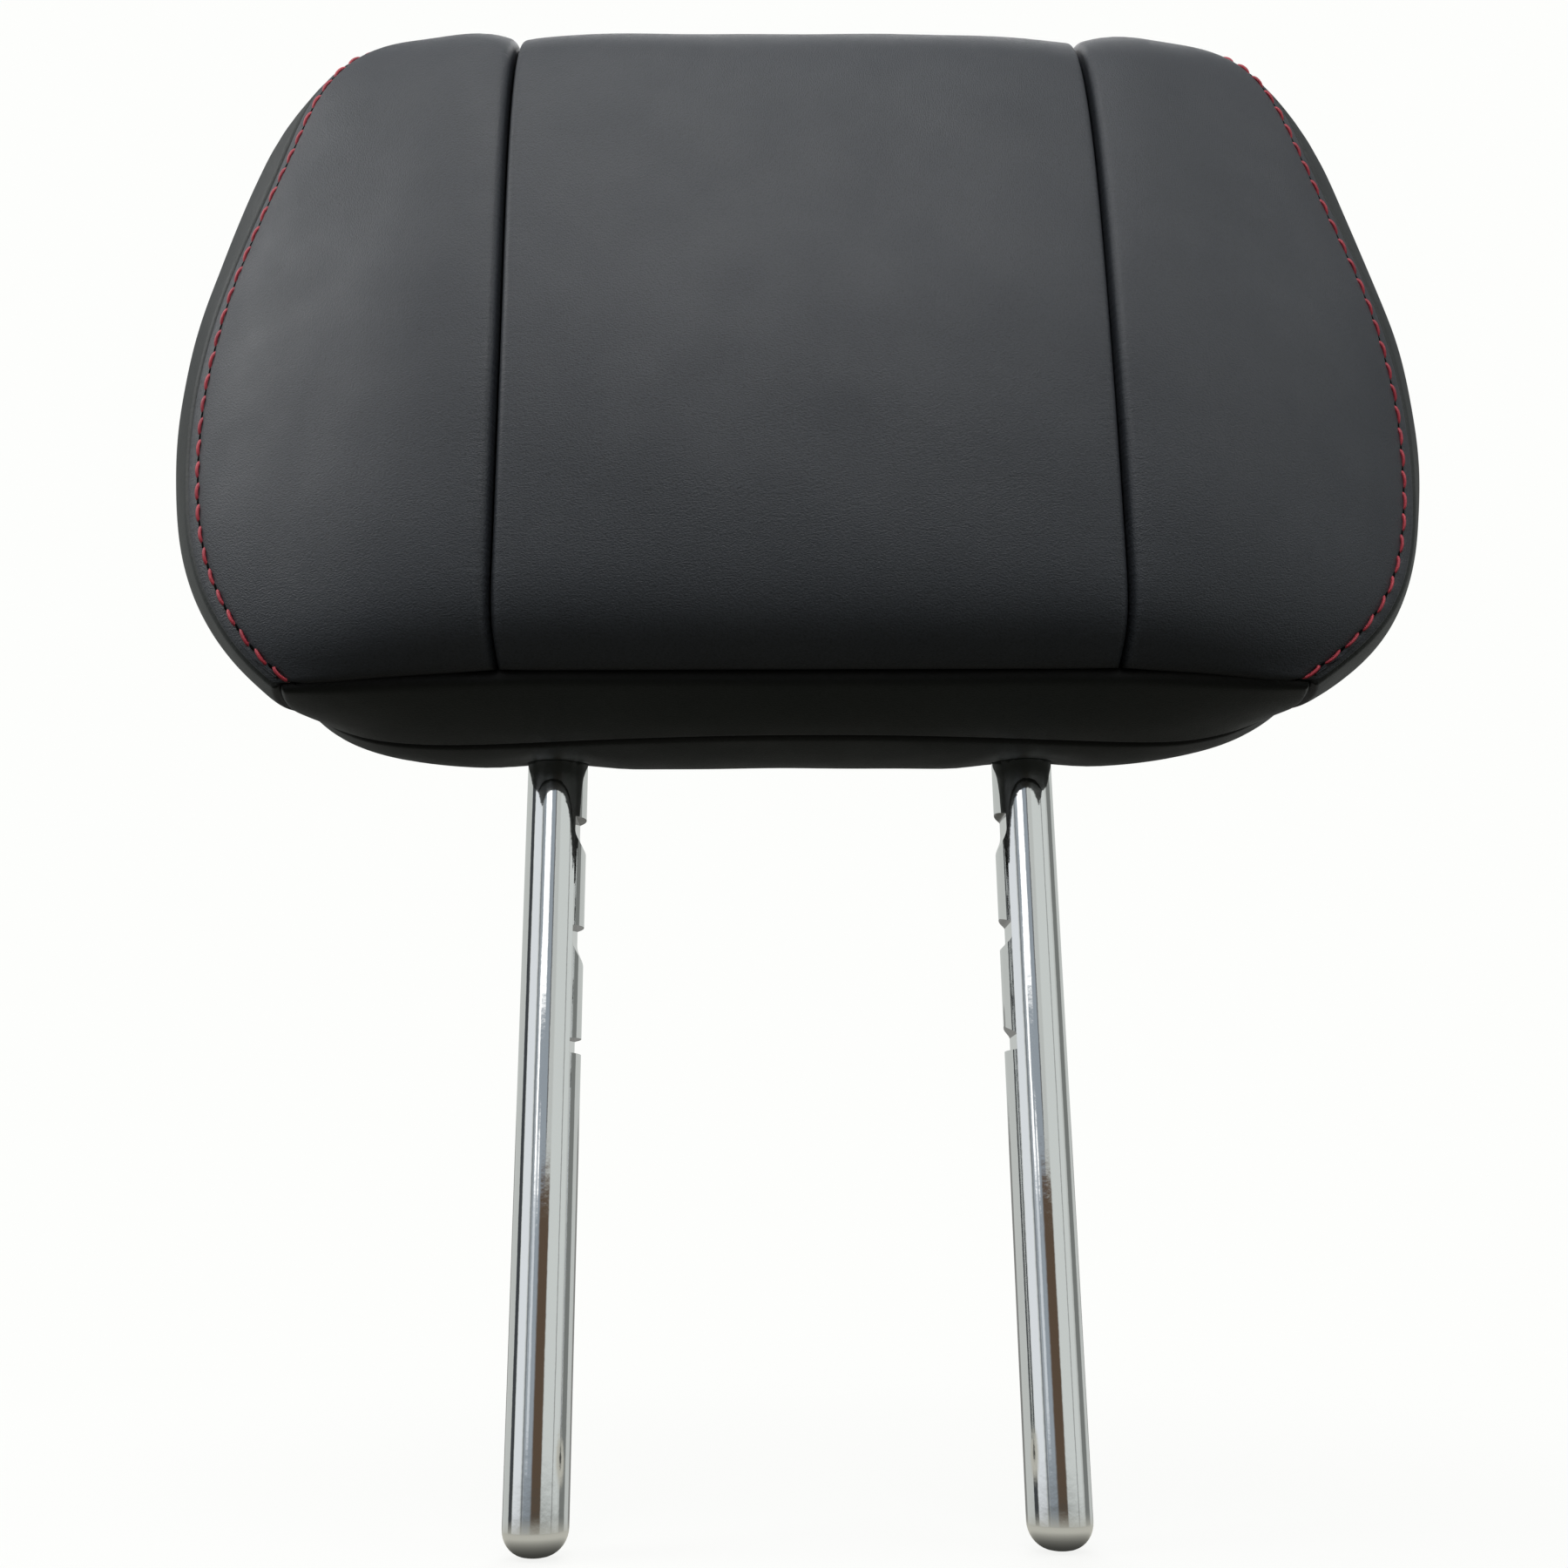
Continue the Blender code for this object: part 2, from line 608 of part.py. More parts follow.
def screw_mesh(name, slack):
    """A screw along +Z with its head's face at z = 0, or the same shape enlarged for its hole."""
    point = -(INSERT_DEPTH - SCREW_POINT_COVER) - slack
    shank, head = SCREW_DIAMETER / 2 + slack, SCREW_HEAD_DIAMETER / 2 + slack
    seat, face = -SCREW_HEAD_HEIGHT - slack, 2 * slack
    profile = [(shank, point), (shank, seat), (head, seat), (head, face)]
    return turned_mesh(name, profile, SCREW_SIDES)


def stand_on_rear_face(obj, place):
    """Turn a screw so that it runs forward from the insert's rear face."""
    obj.rotation_euler = (-math.pi / 2, 0, 0)
    obj.location = (place[0], INSERT_DEPTH / 2, place[1])


def build_screws(halves):
    """Four screws through the rear half into the front half, with their holes."""
    width, depth = SCREW_SOCKET_DIAMETER / 2, SCREW_SOCKET_DEPTH
    socket = turned_mesh("screw_socket", [(width, -depth), (width, depth)], SOCKET_SIDES)
    for number, place in enumerate(screw_places(), start=1):
        name = "insert_screw_%d" % number
        zinc = finish("zinc_" + name, (0.5, 0.5, 0.48), 0.35, 1.0)
        screw = add_object(name, screw_mesh(name, 0.0), zinc)
        hole = as_cutter(add_object("screw_hole_%d" % number, screw_mesh("screw_hole", GAP), None))
        drive = as_cutter(add_object("screw_socket_%d" % number, socket, None))
        for obj in (screw, hole, drive):
            stand_on_rear_face(obj, place)
        cut(screw, drive)
        for half in halves:
            cut(half, hole)


def build_insert():
    """The two halves of the insert, cut for the rod and lightened between the ribs."""
    halves = [insert_half("insert_front", -1), insert_half("insert_rear", 1)]
    cutters = [channel_cutter()] + list(pocket_cutters())
    for half in halves:
        for cutter in cutters:
            cut(half, cutter)
    return halves


def build_grommets():
    """A plastic collar round each post, between the leather and the insert."""
    high = INSERT_BOTTOM - GAP
    step, low = high - GROMMET_FLANGE_HEIGHT, high - GROMMET_HEIGHT
    flange, neck = GROMMET_FLANGE_DIAMETER / 2, GROMMET_NECK_DIAMETER / 2
    profile = [(neck, low), (neck, step), (flange, step), (flange, high)]
    for side, label in ((-1, "left"), (1, "right")):
        name = "%s_post_grommet" % label
        mesh = ring_mesh(name, profile, POST_RADIUS + ROUND_SLACK, ROD_SIDES)
        grommet = add_object(name, mesh, finish("moulded_" + name, *BLACK_PLASTIC))
        grommet.location = (side * POST_X, 0, 0)


# The closure under the pad
def slit_place():
    """The y and z of the closure's slit, under the middle of the pad."""
    y, z = BACK_PROFILE[-1]
    point = placed(0, y, z, 0)
    return point[1], point[2]


def closure_base():
    """The height of the closure strips' lower faces."""
    return slit_place()[1] + LEATHER_THICKNESS + CLOSURE_LIFT


def bent_sheet(route, thickness):
    """The outline of a sheet of one thickness whose middle follows a route."""
    route = [Vector(point) for point in route]
    left, right = [], []
    for i, point in enumerate(route):
        before = (point - route[i - 1]).normalized() if i > 0 else None
        after = (route[i + 1] - point).normalized() if i < len(route) - 1 else None
        if before is None or after is None:
            along = before or after
            beside = Vector((-along.y, along.x)) * thickness / 2
        else:
            first, second = Vector((-before.y, before.x)), Vector((-after.y, after.x))
            beside = (first + second) / (1 + first.dot(second)) * thickness / 2
        left.append(tuple(point + beside))
        right.append(tuple(point - beside))
    return left + right[::-1]


def build_closure():
    """Two hooked plastic strips, one sewn to each edge of the cover, that hold each other."""
    y, _ = slit_place()
    base = closure_base() + CLOSURE_SHEET / 2
    top = closure_base() + CLOSURE_HOOK_HEIGHT - CLOSURE_SHEET / 2
    wall = y - CLOSURE_HOOK_WIDTH / 2
    lip = wall + CLOSURE_HOOK_WIDTH
    catch = lip - CLOSURE_SHEET - GAP
    clear = CLOSURE_SHEET / 2 + CLOSURE_PLAY
    front = [
        (wall - CLOSURE_FLANGE, base + CLOSURE_FLANGE_RISE), (wall, base),
        (wall, top), (lip, top), (lip, base + clear),
    ]
    rear = [(lip + CLOSURE_FLANGE, base), (catch, base), (catch, top - clear)]
    ends = (PAD_OFFSET - CLOSURE_LENGTH / 2, PAD_OFFSET + CLOSURE_LENGTH / 2)
    for name, route in (("front_closure_strip", front), ("rear_closure_strip", rear)):
        mesh = extruded_mesh(name, bent_sheet(route, CLOSURE_SHEET), "X", *ends)
        add_object(name, mesh, finish("strip_" + name, *BLACK_PLASTIC))


# The topstitching
def stitch_line(rows, points, normals):
    """The stitched column of a bolster: places and normals along the leather."""
    column = [row[-2] for row in rows]
    return points[column], normals[column]


def thread_solid(line, normals):
    """One thread along a seam: full on top of each stitch, thin at the needle holes."""
    steps = np.linalg.norm(np.diff(line, axis=0), axis=1)
    knots = np.concatenate([[0], np.cumsum(steps)])
    count = int((knots[-1] - STITCH_PITCH) // STITCH_PITCH)
    start = (knots[-1] - count * STITCH_PITCH) / 2
    places, radii = [], []
    for number in range(count):
        middle = start + (number + 0.5) * STITCH_PITCH
        half = STITCH_LENGTH / 2
        places += [middle - half, middle + half, middle + STITCH_PITCH / 2]
        radii += [THREAD_DIAMETER / 2, THREAD_DIAMETER / 2, THREAD_NECK_DIAMETER / 2]
    places, radii = np.array(places[:-1]), np.array(radii[:-1])
    route = np.stack([np.interp(places, knots, line[:, axis]) for axis in range(3)], axis=1)
    ups = np.stack([np.interp(places, knots, normals[:, axis]) for axis in range(3)], axis=1)
    along = np.gradient(route, axis=0)
    across = np.cross(along, ups)
    across /= np.linalg.norm(across, axis=1)[:, None]
    ups = np.cross(across, along)
    ups /= np.linalg.norm(ups, axis=1)[:, None]
    centres = route + ups * (radii + GAP)[:, None]
    corners = ((1, 0), (0, 1), (-1, 0), (0, -1))
    sides = len(corners)
    spokes = [radii[:, None] * (x * across + y * ups) for x, y in corners]
    points = np.stack([centres + spoke for spoke in spokes], axis=1).reshape(-1, 3)
    last = len(points) - sides
    faces = [tuple(range(sides)), tuple(range(last, last + sides))]
    for low in range(0, last, sides):
        high = low + sides
        for side in range(sides):
            after = (side + 1) % sides
            faces.append((low + side, low + after, high + after, high + side))
    return [tuple(point) for point in points], faces


def build_stitches(points, numbered, normals):
    """The red topstitching beside each stitched seam."""
    for side in ("left", "right"):
        line, up = stitch_line(numbered["front_%s_bolster" % side], points, normals)
        name = "%s_topstitch" % side
        mesh = mesh_from(name, *thread_solid(line, up))
        add_object(name, mesh, finish("thread_" + name, (0.5, 0.05, 0.07), 0.6))


clear_scene()
cover_points, cover_rows = weld(cover_panels())
cover_normals = outward_normals(cover_points, cover_rows)
build_rod()
build_screws(build_insert())
build_grommets()
build_foam(cover_points, cover_rows, cover_normals)
build_cover(cover_points, cover_rows, cover_normals)
build_closure()
build_stitches(cover_points, cover_rows, cover_normals)
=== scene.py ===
# A car headrest on two notched chrome posts, in plain studio light.
# Each section follows one piece of the real thing, in the order in which it is put together.
import math

import bmesh
import bpy
import numpy as np
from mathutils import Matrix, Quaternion, Vector


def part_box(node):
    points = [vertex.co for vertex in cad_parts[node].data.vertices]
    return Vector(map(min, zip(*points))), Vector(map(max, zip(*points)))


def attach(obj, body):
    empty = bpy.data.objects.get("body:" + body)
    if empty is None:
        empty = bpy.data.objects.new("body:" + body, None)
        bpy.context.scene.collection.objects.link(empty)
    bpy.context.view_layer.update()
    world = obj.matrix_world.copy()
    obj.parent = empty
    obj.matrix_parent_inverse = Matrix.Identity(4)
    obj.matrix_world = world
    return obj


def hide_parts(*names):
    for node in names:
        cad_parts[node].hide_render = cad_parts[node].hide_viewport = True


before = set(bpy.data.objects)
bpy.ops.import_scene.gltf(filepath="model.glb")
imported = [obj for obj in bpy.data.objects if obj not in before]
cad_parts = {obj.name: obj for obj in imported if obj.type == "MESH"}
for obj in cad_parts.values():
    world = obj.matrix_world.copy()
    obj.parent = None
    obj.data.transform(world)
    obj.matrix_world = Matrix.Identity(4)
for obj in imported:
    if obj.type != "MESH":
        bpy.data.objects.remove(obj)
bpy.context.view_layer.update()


# The camera
# It stands about 36 cm in front of the posts, level with their middle, and looks up at the pad.
# Its lens is as long as the sensor is wide.
camera_place = (-0.00864, -0.35827, 0.06870)
camera_yaw = 0.0198
camera_pitch = 0.2667
camera_roll = -0.00956
sensor_width = 36.0

camera_data = bpy.data.cameras.new("camera")
camera_data.sensor_width = sensor_width
camera_data.lens = sensor_width
camera_data.clip_start = 0.01
camera = bpy.data.objects.new("camera", camera_data)
bpy.context.scene.collection.objects.link(camera)
level = math.cos(camera_pitch)
looking = Vector((math.sin(camera_yaw) * level, math.cos(camera_yaw) * level, math.sin(camera_pitch)))
camera.location = camera_place
camera.rotation_mode = "QUATERNION"
upright = looking.to_track_quat("-Z", "Y")
camera.rotation_quaternion = upright @ Quaternion((0, 0, 1), camera_roll)
bpy.context.scene.camera = camera


# The bent rod
# One solid steel bar, bent into a U and chromed all over. Its legs are the posts. Their tips are
# rounded, and the seat's catch drops into the notches milled into their facing sides.
post_spacing = 0.110
post_radius = 0.007
tip_rounding = 0.0055
crossbar_height = 0.296
bend_radius = 0.030
rod_sides = 96
bend_steps = 24
tip_steps = 10
notch_depth = 0.002
notch_floor = 0.0032
notch_tops = (0.1578, 0.1323, 0.1068)
left_slopes = ((0.0002, 0.0055), (0.0002, 0.0063), (0.0002, 0.0002))
right_slopes = ((0.0012, 0.0064), (0.0016, 0.0028), (0.0024, 0.0002))
slope_steps = 10
sharp_angle = math.radians(32)


def plain_object(name, points, faces):
    """A smooth-shaded mesh object from points and faces, in the row's own frame."""
    mesh = bpy.data.meshes.new(name)
    mesh.from_pydata([tuple(point) for point in points], [], faces)
    mesh.update()
    mesh.shade_smooth()
    made = bpy.data.objects.new(name, mesh)
    bpy.context.scene.collection.objects.link(made)
    return made


def applied(obj):
    """Replace an object's mesh by what its modifiers make of it."""
    depsgraph = bpy.context.evaluated_depsgraph_get()
    mesh = bpy.data.meshes.new_from_object(obj.evaluated_get(depsgraph))
    obj.modifiers.clear()
    obj.data = mesh
    return obj


def dress(obj, material, slot, *nodes):
    """Give a finished piece its surface and its body, and hide the nodes that it stands for. Its slot is
    not used.
    """
    if material is not None:
        obj.data.materials.clear()
        obj.data.materials.append(material)
    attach(obj, "root")
    if nodes:
        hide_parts(*nodes)


def ring_faces(rings, sides):
    """Quads round a bar of several rings, with a cap on each end."""
    faces = [tuple(range(sides))[::-1], tuple(range((rings - 1) * sides, rings * sides))]
    for ring in range(rings - 1):
        for side in range(sides):
            after = (side + 1) % sides
            low, high = ring * sides, (ring + 1) * sides
            faces.append((low + side, low + after, high + after, high + side))
    return faces


def rod_centre_line():
    """The points and radii of the rod from the left tip over the crossbar to the right tip."""
    half = post_spacing / 2
    leg = []
    for step in range(tip_steps + 1):
        angle = math.pi / 2 * step / tip_steps
        height = tip_rounding * (1 - math.cos(angle))
        leg.append((half, height, post_radius - tip_rounding * (1 - math.sin(angle))))
    for step in range(bend_steps + 1):
        angle = math.pi / 2 * step / bend_steps
        across = half - bend_radius * (1 - math.cos(angle))
        leg.append((across, crossbar_height - bend_radius * (1 - math.sin(angle)), post_radius))
    left = [(-across, height, radius) for across, height, radius in leg]
    return left + leg[::-1]


def notch_outline(side, top, above, below):
    """The milling cutter's path through one post: a step or slope, the floor, and a smooth way out."""
    face = post_spacing / 2 - post_radius
    outside = face - notch_depth
    outline = [(outside, top + above)]
    bottom = top - notch_floor
    for start, length, turn in ((top, above, 1), (bottom, -below, -1)):
        leg = []
        for step in range(slope_steps + 1):
            share = step / slope_steps
            deep = notch_depth * (1 + math.cos(math.pi * share)) / 2
            leg.append((face + deep, start + length * share))
        outline += leg[::-turn]
    outline.append((outside, bottom - below))
    return [(side * across, height) for across, height in outline]


def turn_outwards(obj):
    """Recalculate a closed mesh's normals so that its faces point out."""
    shape = bmesh.new()
    shape.from_mesh(obj.data)
    bmesh.ops.recalc_face_normals(shape, faces=shape.faces)
    shape.to_mesh(obj.data)
    shape.free()


def cut_away(obj, cutters):
    """Cut solids out of a closed mesh."""
    for cutter in cutters:
        turn_outwards(cutter)
        hollow = obj.modifiers.new("hollow", "BOOLEAN")
        hollow.operation = "DIFFERENCE"
        hollow.solver = "EXACT"
        hollow.object = cutter
    applied(obj)
    for cutter in cutters:
        bpy.data.objects.remove(cutter)


def make_rod():
    """The rod as a fine tube, with its notches milled out."""
    line = rod_centre_line()
    points = []
    for index, (across, height, radius) in enumerate(line):
        before, after = line[max(index - 1, 0)], line[min(index + 1, len(line) - 1)]
        along = Vector((after[0] - before[0], 0, after[1] - before[1])).normalized()
        forward = Vector((0, 1, 0))
        beside = along.cross(forward)
        for side in range(rod_sides):
            angle = 2 * math.pi * side / rod_sides
            points.append(Vector((across, 0, height)) + radius * (
                forward * math.cos(angle) + beside * math.sin(angle)))
    rod = plain_object("chromed_rod", points, ring_faces(len(line), rod_sides))
    cutters = []
    for side, slopes in ((-1, left_slopes), (1, right_slopes)):
        for top, (above, below) in zip(notch_tops, slopes):
            outline = notch_outline(side, top, above, below)
            ends = [(across, y, height) for y in (-post_radius, post_radius) for across, height in outline]
            cutters.append(plain_object("notch_cutter", ends, ring_faces(2, len(outline))))
    turn_outwards(rod)
    cut_away(rod, cutters)
    rod.data.set_sharp_from_angle(angle=sharp_angle)
    return rod


def node(tree, kind, inputs=None, **settings):
    """A shader or geometry node with its settings, and its inputs by name or number."""
    made = tree.nodes.new(kind)
    for name, value in settings.items():
        setattr(made, name, value)
    for name, value in (inputs or {}).items():
        if isinstance(value, bpy.types.NodeSocket):
            tree.links.new(value, made.inputs[name])
        else:
            made.inputs[name].default_value = value
    return made


def calc(tree, operation, *values, **settings):
    """The result of one Math node."""
    return node(tree, "ShaderNodeMath", dict(enumerate(values)), operation=operation, **settings).outputs[0]


def ranged(tree, value, low, high, to_low=0.0, to_high=1.0, **settings):
    """A value's place between two limits, as a number between two others."""
    limits = {"From Min": low, "From Max": high, "To Min": to_low, "To Max": to_high}
    return node(tree, "ShaderNodeMapRange", {"Value": value, **limits}, **settings).outputs["Result"]


def relief(tree, shader, height, strength, distance):
    """Turn a height into fine relief on a shader."""
    bump = node(tree, "ShaderNodeBump", {"Height": height, "Strength": strength, "Distance": distance})
    tree.links.new(bump.outputs["Normal"], shader.inputs["Normal"])


def group_sockets(tree, inputs, outputs):
    """Name a group's sockets, and return its input and output nodes."""
    for name, kind, value in inputs:
        socket = tree.interface.new_socket(name, in_out="INPUT", socket_type="NodeSocket" + kind)
        if value is not None:
            socket.default_value = value
    for name, kind in outputs:
        tree.interface.new_socket(name, in_out="OUTPUT", socket_type="NodeSocket" + kind)
    return tree.nodes.new("NodeGroupInput"), tree.nodes.new("NodeGroupOutput")


def new_material(name):
    """A material with nodes, its tree and its Principled shader."""
    material = bpy.data.materials.new(name)
    material.use_nodes = True
    return material, material.node_tree, material.node_tree.nodes["Principled BSDF"]


def uneven_group():
    """Slow unevenness over a surface: a mask from 0 to 1 and a height for a bump."""
    tree = bpy.data.node_groups.new("unevenness", "ShaderNodeTree")
    inputs = [("Size", "Float", 0.01), ("Contrast", "Float", 1.0)]
    outputs = [("Mask", "Float"), ("Height", "Float")]
    start, end = group_sockets(tree, inputs, outputs)
    place = node(tree, "ShaderNodeTexCoord").outputs["Object"]
    density = calc(tree, "DIVIDE", 1.0, start.outputs["Size"])
    noise = node(tree, "ShaderNodeTexNoise", {"Vector": place, "Scale": density, "Detail": 3.0,
                                              "Roughness": 0.5})
    centred = calc(tree, "SUBTRACT", noise.outputs["Fac"], 0.5)
    spread = calc(tree, "MULTIPLY_ADD", centred, start.outputs["Contrast"], 0.5, use_clamp=True)
    tree.links.new(spread, end.inputs["Mask"])
    tree.links.new(noise.outputs["Fac"], end.inputs["Height"])
    return tree


unevenness = uneven_group()


def placed_group(tree, group, **values):
    """One use of a shader node group in a material, with its own values."""
    made = tree.nodes.new("ShaderNodeGroup")
    made.node_tree = group
    for name, value in values.items():
        made.inputs[name].default_value = value
    return made


def chrome():
    """Bright chrome with the faint ripple of ground and plated bar, and a slight haze."""
    material, tree, shader = new_material("bright_chrome")
    shader.inputs["Metallic"].default_value = 1.0
    shader.inputs["Base Color"].default_value = (0.82, 0.83, 0.83, 1.0)
    haze = placed_group(tree, unevenness, Size=0.006, Contrast=2.0)
    rough = ranged(tree, haze.outputs["Mask"], 0.0, 1.0, 0.03, 0.07)
    tree.links.new(rough, shader.inputs["Roughness"])
    ripple = placed_group(tree, unevenness, Size=0.0035, Contrast=1.0)
    relief(tree, shader, ripple.outputs["Height"], 0.11, 0.0002)
    return material


dress(make_rod(), chrome(), "chrome", "post_frame")


# The leather cover's patterns
# Seven pieces of thin foam-backed leather, sewn together inside out and turned over the foam core.
# Seams are fractions: x of the half width, y of the reach to the front (negative) or the rear, and
# z of the pad's height. Each runs over the right half of the pad.
pad_base = 0.1715
pad_height = 0.187
pad_width = 0.3065
pad_shift = 0.003
front_reach = 0.066
rear_reach = 0.040
centre_width = 0.130
centre_crown = 0.0026
bolster_crown = 0.0060
side_crown = 0.0141
band_crown = 0.0015
centre_fullness = (5, 4, 4)
bolster_fullness = (3.2, 5, 2.6)
side_fullness = (2.4, 1.8, 4)
back_fullness = 5
slit_fullness = np.array([5.0, 2.0, 8.0])
slit_reach = 0.25
crest_fade = 4
corner_swell = 0.0022
corner_swell_way = np.array([0.8, 0.0, -0.6])
corner_swell_reach = 0.012
corner_lean = 0.0023
corner_lean_reach = 0.014
corner_lean_inner = 0.075
corner_lean_outer = 0.098
near_share = 0.45

centre_seam = [
    (0.99, -0.80, 0.019), (1.00, -0.92, 0.060), (1.00, -0.98, 0.142), (1.00, -0.99, 0.26),
    (1.01, -0.95, 0.45), (1.03, -0.85, 0.63), (1.05, -0.69, 0.825), (1.06, -0.50, 0.940),
    (1.07, -0.23, 0.990), (1.08, 0.12, 0.988), (1.08, 0.50, 0.957),
]
stitched_seam = [
    (0.705, -0.73, 0.014), (0.783, -0.71, 0.070), (0.855, -0.65, 0.160), (0.893, -0.58, 0.275),
    (0.905, -0.53, 0.390), (0.892, -0.50, 0.52), (0.857, -0.47, 0.65), (0.818, -0.445, 0.770),
    (0.792, -0.42, 0.855), (0.765, -0.39, 0.910), (0.732, -0.34, 0.952), (0.704, -0.24, 0.979),
    (0.690, -0.08, 0.991), (0.685, 0.18, 0.987), (0.684, 0.45, 0.958),
]
rear_seam = [
    (0.780, 0.55, 0.912), (0.835, 0.65, 0.82), (0.893, 0.75, 0.69), (0.933, 0.81, 0.53),
    (0.930, 0.80, 0.38), (0.895, 0.70, 0.25), (0.850, 0.50, 0.160), (0.800, 0.25, 0.105),
    (0.765, 0.05, 0.075), (0.735, -0.15, 0.055),
]
back_profile = [
    (0.50, 0.957), (0.75, 0.88), (0.91, 0.78), (0.98, 0.63), (1.00, 0.47), (0.96, 0.31),
    (0.83, 0.17), (0.60, 0.065), (0.27, 0.012), (-0.09, -0.009), (-0.42, -0.010),
]
mirror = np.array([-1.0, 1.0, 1.0])


def placed(x, y, z, half_width):
    """A point of the pad from its fractions."""
    reach = front_reach if y < 0 else rear_reach
    return np.array([x * half_width, y * reach, pad_base + z * pad_height])


pad_middle = placed(0.0, -0.2, 0.48, pad_width / 2)


def spline(knots, values, places):
    """A natural cubic curve through values at knots, read at places."""
    steps, count = np.diff(knots), len(knots)
    matrix, wanted = np.eye(count), np.zeros_like(values)
    for i in range(1, count - 1):
        matrix[i, i - 1:i + 2] = steps[i - 1], 2 * (steps[i - 1] + steps[i]), steps[i]
        slope_before = (values[i] - values[i - 1]) / steps[i - 1]
        slope_after = (values[i + 1] - values[i]) / steps[i]
        wanted[i] = 6 * (slope_after - slope_before)
    bends = np.linalg.solve(matrix, wanted)
    i = np.clip(np.searchsorted(knots, places) - 1, 0, count - 2)
    span = steps[i][:, None]
    after, before = (places - knots[i])[:, None], (knots[i + 1] - places)[:, None]
    curved = (bends[i] * before**3 + bends[i + 1] * after**3) / (6 * span)
    start = (values[i] / span - bends[i] * span / 6) * before
    return curved + start + (values[i + 1] / span - bends[i + 1] * span / 6) * after


def lengths_along(points):
    """The running length of a line of points."""
    steps = np.linalg.norm(np.diff(points, axis=0), axis=1)
    return np.concatenate([[0.0], np.cumsum(steps)])


def seam_line(fractions, half_width, places):
    """A seam as points, at places from 0 to 1 of its length."""
    points = np.array([placed(x, y, z, half_width) for x, y, z in fractions])
    knots = lengths_along(points)
    return spline(knots, points, places * knots[-1])


def swell(place, power, far_power=None):
    """How full a panel is at a place between its two edges, from 0 to 1."""
    from_middle = 2 * np.asarray(place) - 1
    powers = np.where(from_middle < 0, power, far_power or power)
    return 1 - np.abs(from_middle) ** powers


def steps_across(widths, near_start, near_end, count):
    """Where a panel's columns lie in each row: close together by its seams, even between."""
    rows = []
    for width in widths:
        squeeze = min(1.0, near_share * width / max(near_start[-1], near_end[-1], 1e-9))
        first = np.array(near_start) * squeeze / width
        last = 1 - np.array(near_end)[::-1] * squeeze / width
        even = np.linspace(first[-1], last[0], count + 2)[1:-1]
        rows.append(np.concatenate([first, even, last]))
    return np.array(rows)


def lofted(rail_a, rail_b, rows, across, crown, fullness):
    """A panel between two seams, crowned outwards between its four edges."""
    side_fullness_here, foot_fullness, head_fullness = fullness
    middle = (rail_a + rail_b) / 2
    normal = np.cross(rail_b - rail_a, np.gradient(middle, rows, axis=0))
    normal /= np.linalg.norm(normal, axis=1)[:, None]
    facing = np.sign(np.sum(normal * (middle - pad_middle), axis=1))
    rise = crown * swell(rows, foot_fullness, head_fullness)
    lift = normal * (facing * rise)[:, None]
    share = across[:, :, None]
    flat = rail_a[:, None] * (1 - share) + rail_b[:, None] * share
    return flat + lift[:, None] * swell(share, side_fullness_here)


def front_edge(panels, row):
    """One end row of the front's three panels, from the left seam to the right."""
    left = panels["front_left_bolster"]["points"][row][::-1]
    centre = panels["front_centre_panel"]["points"][row]
    right = panels["front_right_bolster"]["points"][row]
    return np.concatenate([left, centre[1:-1], right])


def cover_panels(rows, near, counts, fill):
    """Every panel of the cover as a grid of points, sharing its seams with its neighbours."""
    half = pad_width / 2
    centre = seam_line(centre_seam, centre_width / 2, rows)
    stitched = seam_line(stitched_seam, half, rows)
    rear = seam_line(rear_seam, half, 1 - rows[::-1])
    plain, stitch_side = near
    centre_steps = steps_across(2 * centre[:, 0], plain, plain, counts[0])
    bolster_widths = np.linalg.norm(stitched - centre, axis=1)
    bolster_steps = steps_across(bolster_widths, plain, stitch_side, counts[1])
    side_widths = np.linalg.norm(rear[::-1] - stitched, axis=1)
    side_steps = steps_across(side_widths, plain, plain, counts[2])
    front = lofted(centre * mirror, centre, rows, centre_steps, fill * centre_crown, centre_fullness)
    bolster = lofted(centre, stitched, rows, bolster_steps, fill * bolster_crown, bolster_fullness)
    boxing = lofted(stitched, rear[::-1], rows, side_steps, fill * side_crown, side_fullness)
    from_foot = lengths_along(stitched)[:, None]
    boxing = boxing + corner_push(side_steps, from_foot)
    panels = {"front_centre_panel": {"points": front, "rows": rows, "columns": centre_steps}}
    for side, turn in (("left", mirror), ("right", np.ones(3))):
        panels["front_%s_bolster" % side] = {
            "points": bolster * turn, "rows": rows, "columns": bolster_steps}
        panels["%s_side_panel" % side] = {"points": boxing * turn, "rows": rows, "columns": side_steps}
    panels["back_panel"] = back_panel(front_edge(panels, -1), boxing[-1], rear)
    panels["bottom_panel"] = bottom_panel(
        front_edge(panels, 0), panels["back_panel"]["points"][-1], side_steps[0])
    for panel in panels.values():
        panel["points"] = leaning(panel["points"])
    return panels


def corner_push(steps, distance):
    """How far the sewn lower corners swell out and down, beside the seam that joins them."""
    size = corner_swell * swell(steps, 2) * np.exp(-(distance / corner_swell_reach) ** 2)
    return size[..., None] * corner_swell_way


def leaning(points):
    """The cover as it really sits: its two lower corners are pulled a little to one side."""
    low = np.exp(-((points[..., 2] - pad_base) / corner_lean_reach) ** 2)
    low = np.where(points[..., 2] < pad_base, 1.0, low)
    beside = (np.abs(points[..., 0]) - corner_lean_inner) / (corner_lean_outer - corner_lean_inner)
    beside = np.clip(beside, 0, 1)
    moved = points.copy()
    moved[..., 0] -= corner_lean * low * beside**2 * (3 - 2 * beside)
    return moved


